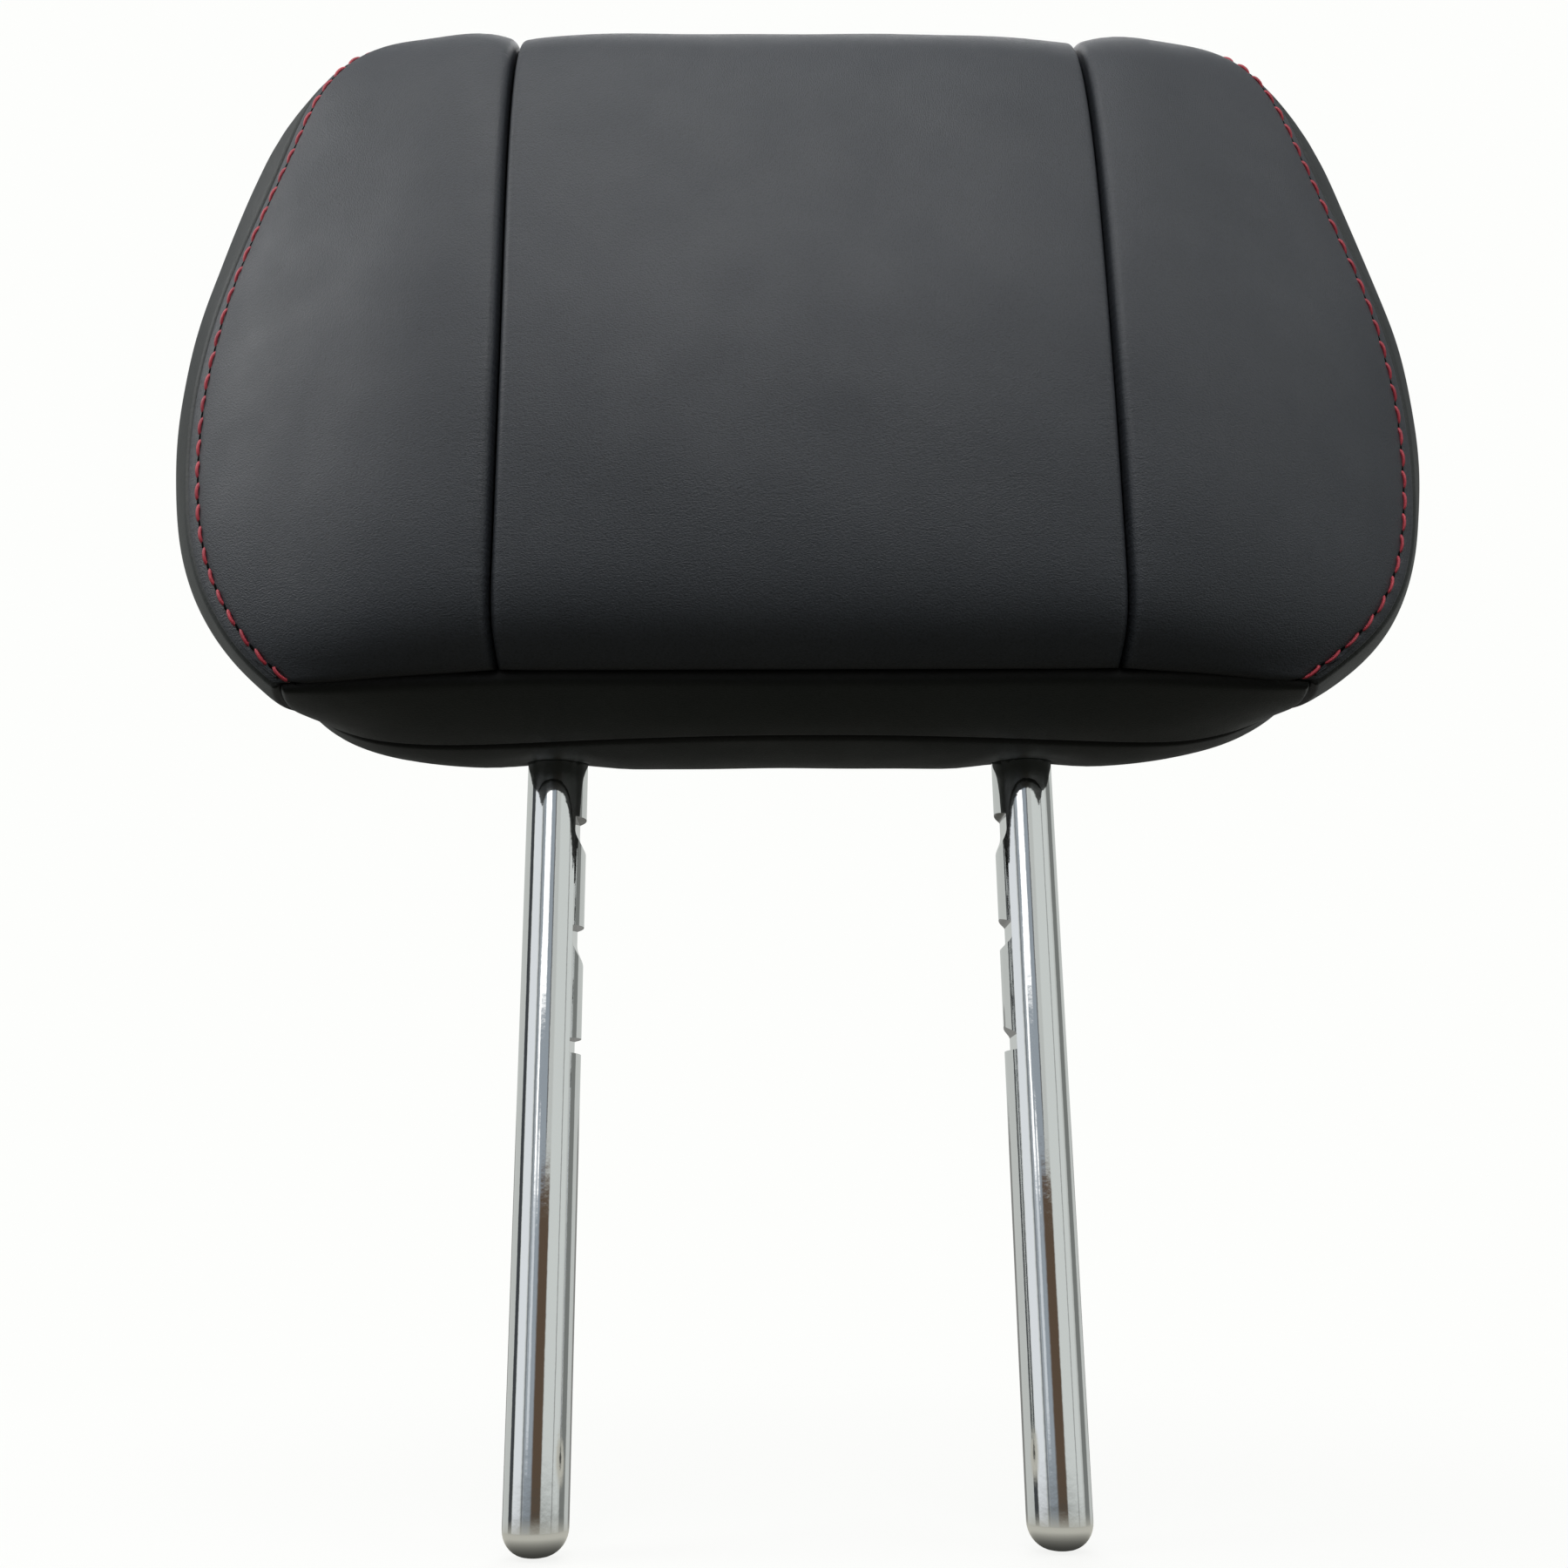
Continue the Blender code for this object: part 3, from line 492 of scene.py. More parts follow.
def back_panel(crest, short_edge, rear):
    """The back panel: down from the crest seam, round the bottom and forward to the closure."""
    rail = np.concatenate([short_edge, rear[1:]])
    places = lengths_along(rail)
    places /= places[-1]
    profile = [(0, y, z) for y, z in back_profile]
    guide = seam_line(profile, 0, places)
    across = (crest[:, 0] / crest[-1, 0] + 1) / 2
    share = across[None, :, None]
    flat = (rail * mirror)[:, None] * (1 - share) + rail[:, None] * share
    rise = guide - (rail + rail * mirror) / 2
    by_slit = np.clip((places - 1 + slit_reach) / slit_reach, 0, 1)[:, None, None]
    fullness = back_fullness * (1 - by_slit) + slit_fullness * by_slit
    grid = flat + rise[:, None] * (1 - np.abs(2 * share - 1) ** fullness)
    fade = (1 - np.linspace(0, 1, len(rail))) ** crest_fade
    grid = grid + (crest - grid[0])[None] * fade[:, None, None]
    return {"points": grid, "rows": places, "columns": np.tile(across, (len(rail), 1))}


def bottom_panel(front, slit, steps):
    """The bottom panel between the front panels' lower ends and the closure."""
    share = steps[:, None, None]
    grid = front[None] * (1 - share) + slit[None] * share
    across = (front[:, 0] / front[-1, 0] + 1) / 2
    grid[:, :, 2] -= band_crown * swell(steps, 2)[:, None] * swell(across, 6)[None]
    for end, turn in ((0, mirror), (-1, np.ones(3))):
        from_end = np.linalg.norm(grid - grid[:, end][:, None], axis=-1)
        grid = grid + turn * corner_push(np.tile(steps[:, None], (1, grid.shape[1])), from_end)
    return {"points": grid, "rows": steps, "columns": np.tile(across, (len(steps), 1))}


def weld(panels):
    """Number each point of the cover once: the points, and each panel as rows of numbers."""
    points, numbers = [], {}
    for panel in panels.values():
        rows = []
        for row in panel["points"]:
            found = []
            for point in row:
                key = tuple(np.round(point, 7) + 0.0)
                if key not in numbers:
                    numbers[key] = len(points)
                    points.append(point)
                found.append(numbers[key])
            rows.append(found)
        panel["numbers"] = np.array(rows)
    return np.array(points)


def grid_quads(numbers):
    """The quads of a grid of point numbers, as an array."""
    return np.stack([numbers[:-1, :-1], numbers[:-1, 1:], numbers[1:, 1:], numbers[1:, :-1]], axis=-1)


def faces_out(points, quads):
    """Whether quads, taken together, face away from the middle of the pad."""
    corners = points[quads]
    face = np.cross(corners[:, 2] - corners[:, 0], corners[:, 3] - corners[:, 1])
    return np.sum(face * (corners.mean(axis=1) - pad_middle)) > 0


def outward_quads(points, panel):
    """A panel's quads, turned so that they face away from the middle of the pad."""
    quads = grid_quads(panel["numbers"]).reshape(-1, 4)
    return quads if faces_out(points, quads) else quads[:, ::-1]


def grid_normals(grid):
    """A grid's own normals, turned away from the middle of the pad."""
    down = np.gradient(grid, axis=0)
    normals = np.cross(np.gradient(grid, axis=1), down)
    normals /= np.maximum(np.linalg.norm(normals, axis=-1), 1e-12)[..., None]
    outside = np.sum(normals * (grid - pad_middle), axis=-1).mean()
    return normals if outside > 0 else -normals


def cover_normals(points, panels):
    """The cover's normal at each point, over all the panels that meet there."""
    normals = np.zeros_like(points)
    for panel in panels.values():
        quads = outward_quads(points, panel)
        corners = points[quads]
        face = np.cross(corners[:, 2] - corners[:, 0], corners[:, 3] - corners[:, 1])
        for corner in range(4):
            np.add.at(normals, quads[:, corner], face)
    return normals / np.linalg.norm(normals, axis=1)[:, None]


def edge_numbers(panels):
    """The numbers of every point that lies on a seam."""
    edges = [panel["numbers"] for panel in panels.values()]
    rims = [np.concatenate([n[0], n[-1], n[:, 0], n[:, -1]]) for n in edges]
    return np.unique(np.concatenate(rims))


# The filling
# The foam pushes the leather out between its seams. The cover starts a little slack and is blown
# up as cloth that is held at the seams, which gives each panel its own soft swell.
slack_fill = 0.88
pressure = 3.0
settling_frames = 20
largest_swell = 0.0030
cloth_rows = 56
cloth_counts = (18, 9, 6)


def blown_up(points, panels):
    """How far each point of the coarse cover moves when it is filled."""
    quads = np.concatenate([outward_quads(points, panel) for panel in panels.values()])
    bag = plain_object("filling_bag", points, [tuple(quad) for quad in quads.tolist()])
    seams = bag.vertex_groups.new(name="seams")
    seams.add(edge_numbers(panels).tolist(), 1.0, "REPLACE")
    cloth = bag.modifiers.new("cloth", "CLOTH")
    settings = cloth.settings
    settings.quality = 6
    settings.mass = 0.4
    settings.tension_stiffness = 40
    settings.compression_stiffness = 40
    settings.shear_stiffness = 20
    settings.bending_stiffness = 2
    settings.vertex_group_mass = "seams"
    settings.use_pressure = True
    settings.uniform_pressure_force = pressure
    settings.effector_weights.gravity = 0.0
    cloth.collision_settings.use_collision = False
    cloth.point_cache.frame_start, cloth.point_cache.frame_end = 1, settling_frames
    scene = bpy.context.scene
    for number in range(1, settling_frames + 1):
        scene.frame_set(number)
    settled = bag.evaluated_get(bpy.context.evaluated_depsgraph_get()).to_mesh()
    after = np.zeros(len(points) * 3)
    settled.vertices.foreach_get("co", after)
    scene.frame_set(1)
    moves = after.reshape(-1, 3) - points
    sizes = np.linalg.norm(moves, axis=1)[:, None]
    moves *= np.minimum(1.0, largest_swell / np.maximum(sizes, 1e-9))
    bpy.data.objects.remove(bag)
    return moves


def read_between(coarse, fine, moves):
    """The coarse panel's moves at the fine panel's points."""
    grid = moves[coarse["numbers"]]
    rows, columns = grid.shape[:2]
    by_row = spline(coarse["rows"], grid.reshape(rows, -1), fine["rows"])
    by_row = by_row.reshape(len(fine["rows"]), columns, 3)
    coarse_columns = coarse["columns"][0]
    return np.array([
        spline(coarse_columns, row, places) for row, places in zip(by_row, fine["columns"])])


# The sewn panels
# Each panel turns down into its seams over a small round edge. Beside the outer seam of each
# bolster the thread pulls the leather into a shallow channel with a dip at each needle hole. Each
# panel is darker at its head and foot: painted shade there, near black, stands in for the seam's
# shadow.
leather_thickness = 0.0018
foam_gap = 0.0003
cover_length = 0.27
stitch_from_seam = 0.004
stitch_pitch = 0.0059
channel_depth = 0.00045
channel_width = 0.0011
unevenness_height = 0.00018
near_seam = (0, 0.00006, 0.00018, 0.00036, 0.0006, 0.0009, 0.0013, 0.0018, 0.0024, 0.0032, 0.0045,
             0.0065, 0.0095)
near_stitch = (0, 0.00008, 0.0002, 0.0004, 0.0007, 0.0011, 0.0016, 0.0022, 0.0027, 0.0031, 0.0034,
               0.0037, 0.0040, 0.0043, 0.0046, 0.0050, 0.0056, 0.0065, 0.0080, 0.0105)
panel_rows = 200
panel_counts = (40, 22, 14)
post_hole_radius = 0.0073
dimple_depth = 0.0012
dimple_width = 0.0065
dimple_reach = 0.009
gather_reach = 0.0022
calm_by_seam = 0.004
# How far the painted seam shade reaches from a panel's head and foot.
seam_shade_reach = 0.0026
grain_ridge = 0.00030
grain_depth = 0.00035
gather_share = 1.6
hollow_colour = (0.010, 0.011, 0.012, 1.0)
# The near-black colour of the painted seam shade.
seam_shade_colour = (0.003, 0.003, 0.003, 1.0)

# The rolls have a width and a depth. Each panel has one at its first and its last column, at its
# foot and at its head.
open_roll = (0.0023, 0.0036)
tight_roll = (0.0011, 0.0013)
lap_roll = (0.0024, 0.0032)
soft_roll = (0.0020, 0.0024)
slit_roll = (0.0022, 0.0026)
foot_roll = (0.0030, 0.0044)
panel_rolls = {
    "front_centre_panel": (open_roll, open_roll, foot_roll, soft_roll),
    "front_left_bolster": (open_roll, tight_roll, foot_roll, soft_roll),
    "front_right_bolster": (open_roll, tight_roll, foot_roll, soft_roll),
    "left_side_panel": (lap_roll, soft_roll, soft_roll, soft_roll),
    "right_side_panel": (lap_roll, soft_roll, soft_roll, soft_roll),
    "back_panel": (soft_roll, soft_roll, soft_roll, slit_roll),
    "bottom_panel": (soft_roll, soft_roll, foot_roll, slit_roll),
}
crest_height = (0.93, 0.985)
crest_roll_share = 0.4
corner_reach = 0.006
rear_corner_calm = 0.85


def turned_down(distance, roll):
    """How far a panel's surface has dropped towards a seam at a distance from it."""
    width, depth = roll
    inside = np.clip(1 - distance / width, 0, 1)
    return depth * (1 - np.sqrt(1 - inside**2))


def grid_lengths(grid):
    """The running lengths along a grid's rows and along its columns."""
    across = np.array([lengths_along(row) for row in grid])
    along = np.array([lengths_along(column) for column in grid.transpose(1, 0, 2)]).T
    return across, along


def drop_of(name, grid):
    """How far each point of a panel lies below its plain surface, and how it lies to its seams."""
    across, along = grid_lengths(grid)
    start, end, foot, head = panel_rolls[name]
    other_side, other_end = across[:, -1:] - across, along[-1:] - along
    drop = np.maximum(turned_down(across, start), turned_down(other_side, end))
    height = (grid[..., 2] - pad_base) / pad_height
    drop *= np.interp(height, crest_height, (1.0, crest_roll_share))
    drop = np.maximum(drop, np.maximum(turned_down(along, foot), turned_down(other_end, head)))
    if name.endswith("bolster"):
        from_stitch = (other_side - stitch_from_seam) / channel_width
        beat = np.cos(2 * np.pi * (along - along[-1:] / 2) / stitch_pitch)
        drop = drop + channel_depth * np.exp(-from_stitch**2) * (0.75 - 0.25 * beat)
    rear_corner = placed(*rear_seam[0], pad_width / 2)
    from_corner = np.linalg.norm(np.abs(grid) - rear_corner, axis=-1)
    drop = drop * (1 - rear_corner_calm * np.exp(-(from_corner / corner_reach) ** 2))
    from_side = np.minimum(across, other_side)
    from_end = np.minimum(along, other_end)
    from_edge = np.minimum(from_side, from_end)
    # Painted shade: a mask that is 1 at a panel's head and foot and fades within a few millimetres,
    # darkening the colour in place of the seam's shadow.
    deep = np.exp(-(from_end / seam_shade_reach) ** 2)
    cloth = np.stack([along, from_side, np.exp(-from_side / gather_reach)], axis=-1)
    return drop, from_edge, cloth, deep


def uneven(points):
    """A slow, small waviness of leather over foam."""
    x, y, z = np.moveaxis(points * 1000, -1, 0)
    waves = np.sin(x / 17 + 1.1 * np.sin(z / 31)) * np.sin(z / 13 + 0.7 + 0.9 * np.sin(x / 41))
    waves = waves + 0.6 * np.sin(x / 7.3 + z / 11 + 2) * np.sin(z / 8.9 - x / 15 + y / 19)
    return unevenness_height * waves


def dimples(points):
    """How far the leather rises round each post, where its collar holds it up."""
    lift = np.zeros(points.shape[:-1])
    low = points[..., 2] < pad_base + dimple_reach
    for side in (-1, 1):
        centre = np.array([side * post_spacing / 2 - pad_shift, 0.0])
        away = np.linalg.norm(points[..., :2] - centre, axis=-1) - post_hole_radius
        lift += low * dimple_depth * np.exp(-(np.maximum(away, 0) / dimple_width) ** 2)
    return lift


def shell(name, outer, cloth, deep):
    """A closed sheet of leather under a grid of outer points, carrying its cloth coordinates and the mask
    of its painted seam shade.
    """
    inner = outer - leather_thickness * grid_normals(outer)
    count = outer.shape[0] * outer.shape[1]
    index = np.arange(count).reshape(outer.shape[:2])
    top = grid_quads(index).reshape(-1, 4)
    loop = np.concatenate([index[0, :-1], index[:-1, -1], index[-1, :0:-1], index[:0:-1, 0]])
    if not faces_out(outer.reshape(-1, 3), top):
        top, loop = top[:, ::-1], loop[::-1]
    after = np.roll(loop, -1)
    rim = np.stack([loop, loop + count, after + count, after], axis=1)
    faces = np.concatenate([top, top[:, ::-1] + count, rim])
    both = np.concatenate([outer.reshape(-1, 3), inner.reshape(-1, 3)])
    made = plain_object(name, both, [tuple(face) for face in faces.tolist()])
    pattern = made.data.attributes.new("cloth", "FLOAT_VECTOR", "POINT")
    pattern.data.foreach_set("vector", np.tile(cloth.reshape(-1, 3), (2, 1)).ravel())
    # The mask of the painted seam shade, which darkens the leather's colour at each panel's head and foot.
    seam_shade_attribute = made.data.attributes.new("deep", "FLOAT", "POINT")
    seam_shade_attribute.data.foreach_set("value", np.tile(deep.ravel(), 2))
    return made


def calm_corners(points, normals, panels):
    """Let the panels that meet at the end of a seam sink the same way there."""
    for side in ("left", "right"):
        feet = panels["front_%s_bolster" % side]["numbers"][0, [0, -1]]
        for corner in [*feet, panels["%s_side_panel" % side]["numbers"][-1, -1]]:
            away = np.linalg.norm(points - points[corner], axis=1)[:, None]
            share = np.exp(-(away / corner_reach) ** 2)
            normals = normals * (1 - share) + normals[corner] * share
    return normals / np.linalg.norm(normals, axis=1)[:, None]


def filled_cover(near, row_count, counts, filling):
    """The sewn cover at some fineness: its points and normals, and each panel's own surface."""
    rows = steps_across([cover_length], near[0], near[0], row_count)[0]
    cover = cover_panels(rows, near, counts, slack_fill if filling else 1.0)
    if filling:
        coarse, moves = filling
        for name, panel in cover.items():
            panel["points"] = panel["points"] + read_between(coarse[name], panel, moves)
    points = weld(cover)
    normals = calm_corners(points, cover_normals(points, cover), cover)
    for name, panel in cover.items():
        base, normal = points[panel["numbers"]], normals[panel["numbers"]]
        # Each panel's deep entry is the mask of its painted seam shade.
        panel["drop"], from_edge, panel["cloth"], panel["deep"] = drop_of(name, base)
        wave = uneven(base) * (1 - np.exp(-(from_edge / calm_by_seam) ** 2))
        if name == "back_panel":
            base = base + dimples(base)[..., None] * [0, 0, 1]
        panel["outer"] = base + normal * (wave - panel["drop"])[..., None] + [pad_shift, 0, 0]
        panel["normal"] = normal
    return cover, points, normals


def blown_cover():
    even = np.linspace(0, 1, cloth_rows + 1)
    coarse = cover_panels(even, ((0.0,), (0.0,)), cloth_counts, slack_fill)
    return coarse, blown_up(weld(coarse), coarse)


def round_cutter(centre, radius, low, high):
    """A closed upright cylinder."""
    turns = [2 * math.pi * step / rod_sides for step in range(rod_sides)]
    points = [(centre + radius * math.cos(turn), radius * math.sin(turn), height)
              for height in (low, high) for turn in turns]
    return plain_object("round_cutter", points, ring_faces(2, rod_sides))


def cut_post_holes(panel):
    """Punch the two round holes for the posts through the back panel's underside."""
    bottom, top = pad_base - 2 * dimple_reach, pad_base + 1.5 * dimple_reach
    cut_away(panel, [round_cutter(side * post_spacing / 2, post_hole_radius, bottom, top)
                     for side in (-1, 1)])


def streaks(tree, place, size, stretch):
    """Small ridges drawn out along one direction, as a noise over the surface."""
    scaled = node(tree, "ShaderNodeVectorMath", {0: place, 1: stretch}, operation="MULTIPLY")
    density = calc(tree, "DIVIDE", 1.0, size)
    noise = node(tree, "ShaderNodeTexNoise", {"Vector": scaled.outputs[0], "Scale": density,
                                              "Detail": 2.0, "Roughness": 0.5, "Distortion": 0.3})
    return noise.outputs["Fac"]


def grain_group():
    """Leather grain: fine ridges that run upright on the pad's head and level at its foot."""
    tree = bpy.data.node_groups.new("leather_grain", "ShaderNodeTree")
    inputs = [("Ridge", "Float", 0.0009), ("Upright From", "Float", 0.21), ("Upright To", "Float", 0.30)]
    start, end = group_sockets(tree, inputs, [("Height", "Float")])
    place = node(tree, "ShaderNodeTexCoord").outputs["Object"]
    upright = streaks(tree, place, start.outputs["Ridge"], (1.0, 1.0, 0.55))
    level_run = streaks(tree, place, start.outputs["Ridge"], (0.62, 0.8, 1.0))
    height = node(tree, "ShaderNodeSeparateXYZ", {0: place}).outputs["Z"]
    share = ranged(tree, height, start.outputs["Upright From"], start.outputs["Upright To"])
    both = node(tree, "ShaderNodeMix", {0: share, 2: level_run, 3: upright}, data_type="FLOAT")
    tree.links.new(both.outputs[0], end.inputs["Height"])
    return tree


def gather_group():
    """The small creases that a seam draws into leather, square to the seam and beside it."""
    tree = bpy.data.node_groups.new("seam_gathers", "ShaderNodeTree")
    inputs = [("Pitch", "Float", 0.0012), ("Length", "Float", 0.006)]
    start, end = group_sockets(tree, inputs, [("Height", "Float")])
    cloth = node(tree, "ShaderNodeAttribute", attribute_name="cloth")
    parts = node(tree, "ShaderNodeSeparateXYZ", {0: cloth.outputs["Vector"]})
    along = calc(tree, "DIVIDE", parts.outputs["X"], start.outputs["Pitch"])
    beside = calc(tree, "DIVIDE", parts.outputs["Y"], start.outputs["Length"])
    place = node(tree, "ShaderNodeCombineXYZ", {"X": along, "Y": beside})
    ridges = node(tree, "ShaderNodeTexNoise", {"Vector": place.outputs[0], "Scale": 1.0, "Detail": 1.0})
    height = calc(tree, "MULTIPLY", ridges.outputs["Fac"], parts.outputs["Z"])
    tree.links.new(height, end.inputs["Height"])
    return tree


grain = grain_group()
gathers = gather_group()


def mixed_colour(tree, share, first, second):
    """Two colours mixed by a mask."""
    mix = node(tree, "ShaderNodeMix", {0: share, 6: first, 7: second}, data_type="RGBA")
    return mix.outputs[2]


def leather(name, warm, cool, roughness, grain_strength, shine):
    """Dyed leather: mottled colour, darker hollows, painted shade at each panel's head and foot, and a
    satin finish over a fine grain.
    """
    material, tree, shader = new_material(name)
    patches = placed_group(tree, unevenness, Size=0.028, Contrast=2.2)
    dyed = mixed_colour(tree, patches.outputs["Mask"], (*warm, 1.0), (*cool, 1.0))
    ridges = placed_group(tree, grain, Ridge=grain_ridge)
    hollow = ranged(tree, ridges.outputs["Height"], 0.30, 0.55, 0.40, 0.0)
    grained = mixed_colour(tree, hollow, dyed, hollow_colour)
    # Painted shade: the colour goes to near black at the head and foot of each panel, standing in for the
    # seam's shadow.
    deep = node(tree, "ShaderNodeAttribute", attribute_name="deep")
    seam_shaded = mixed_colour(tree, deep.outputs["Fac"], grained, seam_shade_colour)
    tree.links.new(seam_shaded, shader.inputs["Base Color"])
    polish = placed_group(tree, unevenness, Size=0.012, Contrast=1.6)
    rough = ranged(tree, polish.outputs["Mask"], 0.0, 1.0, roughness - 0.04, roughness + 0.05)
    tree.links.new(rough, shader.inputs["Roughness"])
    shader.inputs["Specular IOR Level"].default_value = shine
    creases = placed_group(tree, gathers)
    height = calc(tree, "MULTIPLY_ADD", creases.outputs["Height"], gather_share, ridges.outputs["Height"])
    relief(tree, shader, height, grain_strength, grain_depth)
    return material


filling = blown_cover()
cover = filled_cover((near_seam, near_stitch), panel_rows, panel_counts, filling)[0]
front_leather = leather("front_leather", (0.040, 0.045, 0.053), (0.034, 0.039, 0.047), 0.52, 0.48, 0.38)
side_leather = leather("side_leather", (0.030, 0.034, 0.032), (0.025, 0.030, 0.029), 0.54, 0.30, 0.27)
for panel_name, panel in cover.items():
    piece = shell("leather_" + panel_name, panel["outer"], panel["cloth"], panel["deep"])
    if panel_name == "back_panel":
        cut_post_holes(piece)
    surface = front_leather if panel_name.startswith("front") else side_leather
    dress(piece, surface, "leather", panel_name)


# The red topstitching
# A row of single stitches in red twisted thread runs 4 mm inside each bolster's outer seam. The
# thread dives into a needle hole at the end of each stitch. Each hole's dark inside is painted
# shade: a small near-black flattened ball set into the leather there.
thread_radius = 0.00043
ply_waist = 0.72 * thread_radius
ply_twist = 0.42
stitch_length = 0.0041
stitch_slant = math.radians(8)
slant_play = 0.06
first_stitch = 0.0012
hole_size = (0.00095, 0.00036, 0.00022)


def stitch_geometry(tree):
    """One stitch: three plies twisted together, arched from hole to hole."""
    half = stitch_length / 2
    arc = node(tree, "GeometryNodeCurvePrimitiveBezierSegment", {
        "Resolution": 14, "Start": (-half, 0, -thread_radius),
        "Start Handle": (-0.7 * half, 0, thread_radius * 1.1),
        "End Handle": (0.7 * half, 0, thread_radius * 1.1), "End": (half, 0, -thread_radius)})
    index = node(tree, "GeometryNodeInputIndex")
    twist = calc(tree, "MULTIPLY", index.outputs[0], ply_twist)
    tilted = node(tree, "GeometryNodeSetCurveTilt", {"Curve": arc.outputs[0], "Tilt": twist})
    plies = node(tree, "GeometryNodeCurveStar", {"Points": 3, "Inner Radius": ply_waist,
                                                 "Outer Radius": thread_radius})
    solid = node(tree, "GeometryNodeCurveToMesh", {"Curve": tilted.outputs[0],
                                                   "Profile Curve": plies.outputs[0],
                                                   "Fill Caps": True})
    return solid.outputs[0]


def hole_geometry(tree):
    """The slightly drawn-out mouth of one needle hole: a flattened ball that carries the painted shade of
    the hole's inside.
    """
    ball = node(tree, "GeometryNodeMeshIcoSphere", {"Radius": 1.0, "Subdivisions": 2})
    flat = node(tree, "GeometryNodeTransform", {"Geometry": ball.outputs[0], "Scale": hole_size})
    return flat.outputs[0]


def row_tree(name, repeated, odd):
    """A node tree that sets a small piece at every other half pitch along a line of points."""
    tree = bpy.data.node_groups.new(name, "GeometryNodeTree")
    inputs = [("Line", "Geometry", None), ("Pitch", "Float", stitch_pitch), ("Slant", "Float", 0.0),
              ("Seed", "Int", 7), ("Material", "Material", None)]
    start, end = group_sockets(tree, inputs, [("Row", "Geometry")])
    curve = node(tree, "GeometryNodeMeshToCurve", {"Mesh": start.outputs["Line"]})
    half_pitch = calc(tree, "MULTIPLY", start.outputs["Pitch"], 0.5)
    spaced = node(tree, "GeometryNodeResampleCurve", {"Curve": curve.outputs[0], "Length": half_pitch},
                  mode="LENGTH")
    index = node(tree, "GeometryNodeInputIndex")
    parity = calc(tree, "MODULO", index.outputs[0], 2.0)
    chosen = calc(tree, "COMPARE", parity, float(odd), 0.1)
    tangent = node(tree, "GeometryNodeInputTangent")
    up = node(tree, "GeometryNodeInputNamedAttribute", {"Name": "up"}, data_type="FLOAT_VECTOR")
    along = node(tree, "FunctionNodeAlignRotationToVector", {"Vector": tangent.outputs[0]}, axis="X")
    upright_here = node(tree, "FunctionNodeAlignRotationToVector", {
        "Rotation": along.outputs[0], "Vector": up.outputs["Attribute"]}, axis="Z", pivot_axis="X")
    play = node(tree, "FunctionNodeRandomValue", {2: -slant_play, 3: slant_play,
                                                  "Seed": start.outputs["Seed"]}, data_type="FLOAT")
    angle = calc(tree, "ADD", start.outputs["Slant"], play.outputs[1])
    turn = node(tree, "FunctionNodeAxisAngleToRotation", {"Axis": (0, 0, 1), "Angle": angle})
    turned = node(tree, "FunctionNodeRotateRotation", {"Rotation": upright_here.outputs[0],
                                                       "Rotate By": turn.outputs[0]},
                  rotation_space="LOCAL")
    row = node(tree, "GeometryNodeInstanceOnPoints", {
        "Points": spaced.outputs[0], "Selection": chosen, "Instance": repeated(tree),
        "Rotation": turned.outputs[0]})
    real = node(tree, "GeometryNodeRealizeInstances", {"Geometry": row.outputs[0]})
    finished = node(tree, "GeometryNodeSetMaterial", {"Geometry": real.outputs[0],
                                                      "Material": start.outputs["Material"]})
    tree.links.new(finished.outputs[0], end.inputs["Row"])
    return tree


def sewn_row(name, tree, line, material, lift, slant):
    """A row of small pieces along one stitch line, as a plain mesh."""
    points, normals = line
    spine = plain_object(name, points + normals * lift, [])
    spine.data.edges.add(len(points) - 1)
    ends = np.stack([np.arange(len(points) - 1), np.arange(1, len(points))], axis=1)
    spine.data.edges.foreach_set("vertices", ends.ravel().astype(np.int32))
    up = spine.data.attributes.new("up", "FLOAT_VECTOR", "POINT")
    up.data.foreach_set("vector", normals.astype(np.float32).ravel())
    row = spine.modifiers.new("row", "NODES")
    row.node_group = tree
    sockets = {socket.name: socket.identifier for socket in tree.interface.items_tree}
    row[sockets["Pitch"]] = stitch_pitch
    row[sockets["Slant"]] = slant
    row[sockets["Material"]] = material
    applied(spine)
    spine.data.shade_smooth()
    return spine


def toned(name, size, contrast, first, second, roughness):
    """A finish whose colour wanders between two tones: its material, tree and shader."""
    material, tree, shader = new_material(name)
    tone = placed_group(tree, unevenness, Size=size, Contrast=contrast)
    colour = mixed_colour(tree, tone.outputs["Mask"], (*first, 1.0), (*second, 1.0))
    tree.links.new(colour, shader.inputs["Base Color"])
    shader.inputs["Roughness"].default_value = roughness
    return material, tree, shader


def thread_red():
    """Red polyester thread with a slight shift of colour along its length."""
    material, tree, shader = toned("red_thread", 0.004, 2.4, (0.36, 0.013, 0.036), (0.57, 0.036, 0.058),
                                   0.55)
    shader.inputs["Sheen Weight"].default_value = 0.10
    place = node(tree, "ShaderNodeTexCoord").outputs["Object"]
    fibres = node(tree, "ShaderNodeTexNoise", {"Vector": place, "Scale": 5200.0, "Detail": 1.0})
    relief(tree, shader, fibres.outputs["Fac"], 0.4, 0.0001)
    return material


def painted_hole_shade():
    """The shadowed inside of a needle hole."""
    material, tree, shader = toned("needle_hole_shade", 0.002, 1.0, (0.002, 0.002, 0.002),
                                   (0.006, 0.005, 0.005), 0.95)
    shader.inputs["Specular IOR Level"].default_value = 0.05
    return material


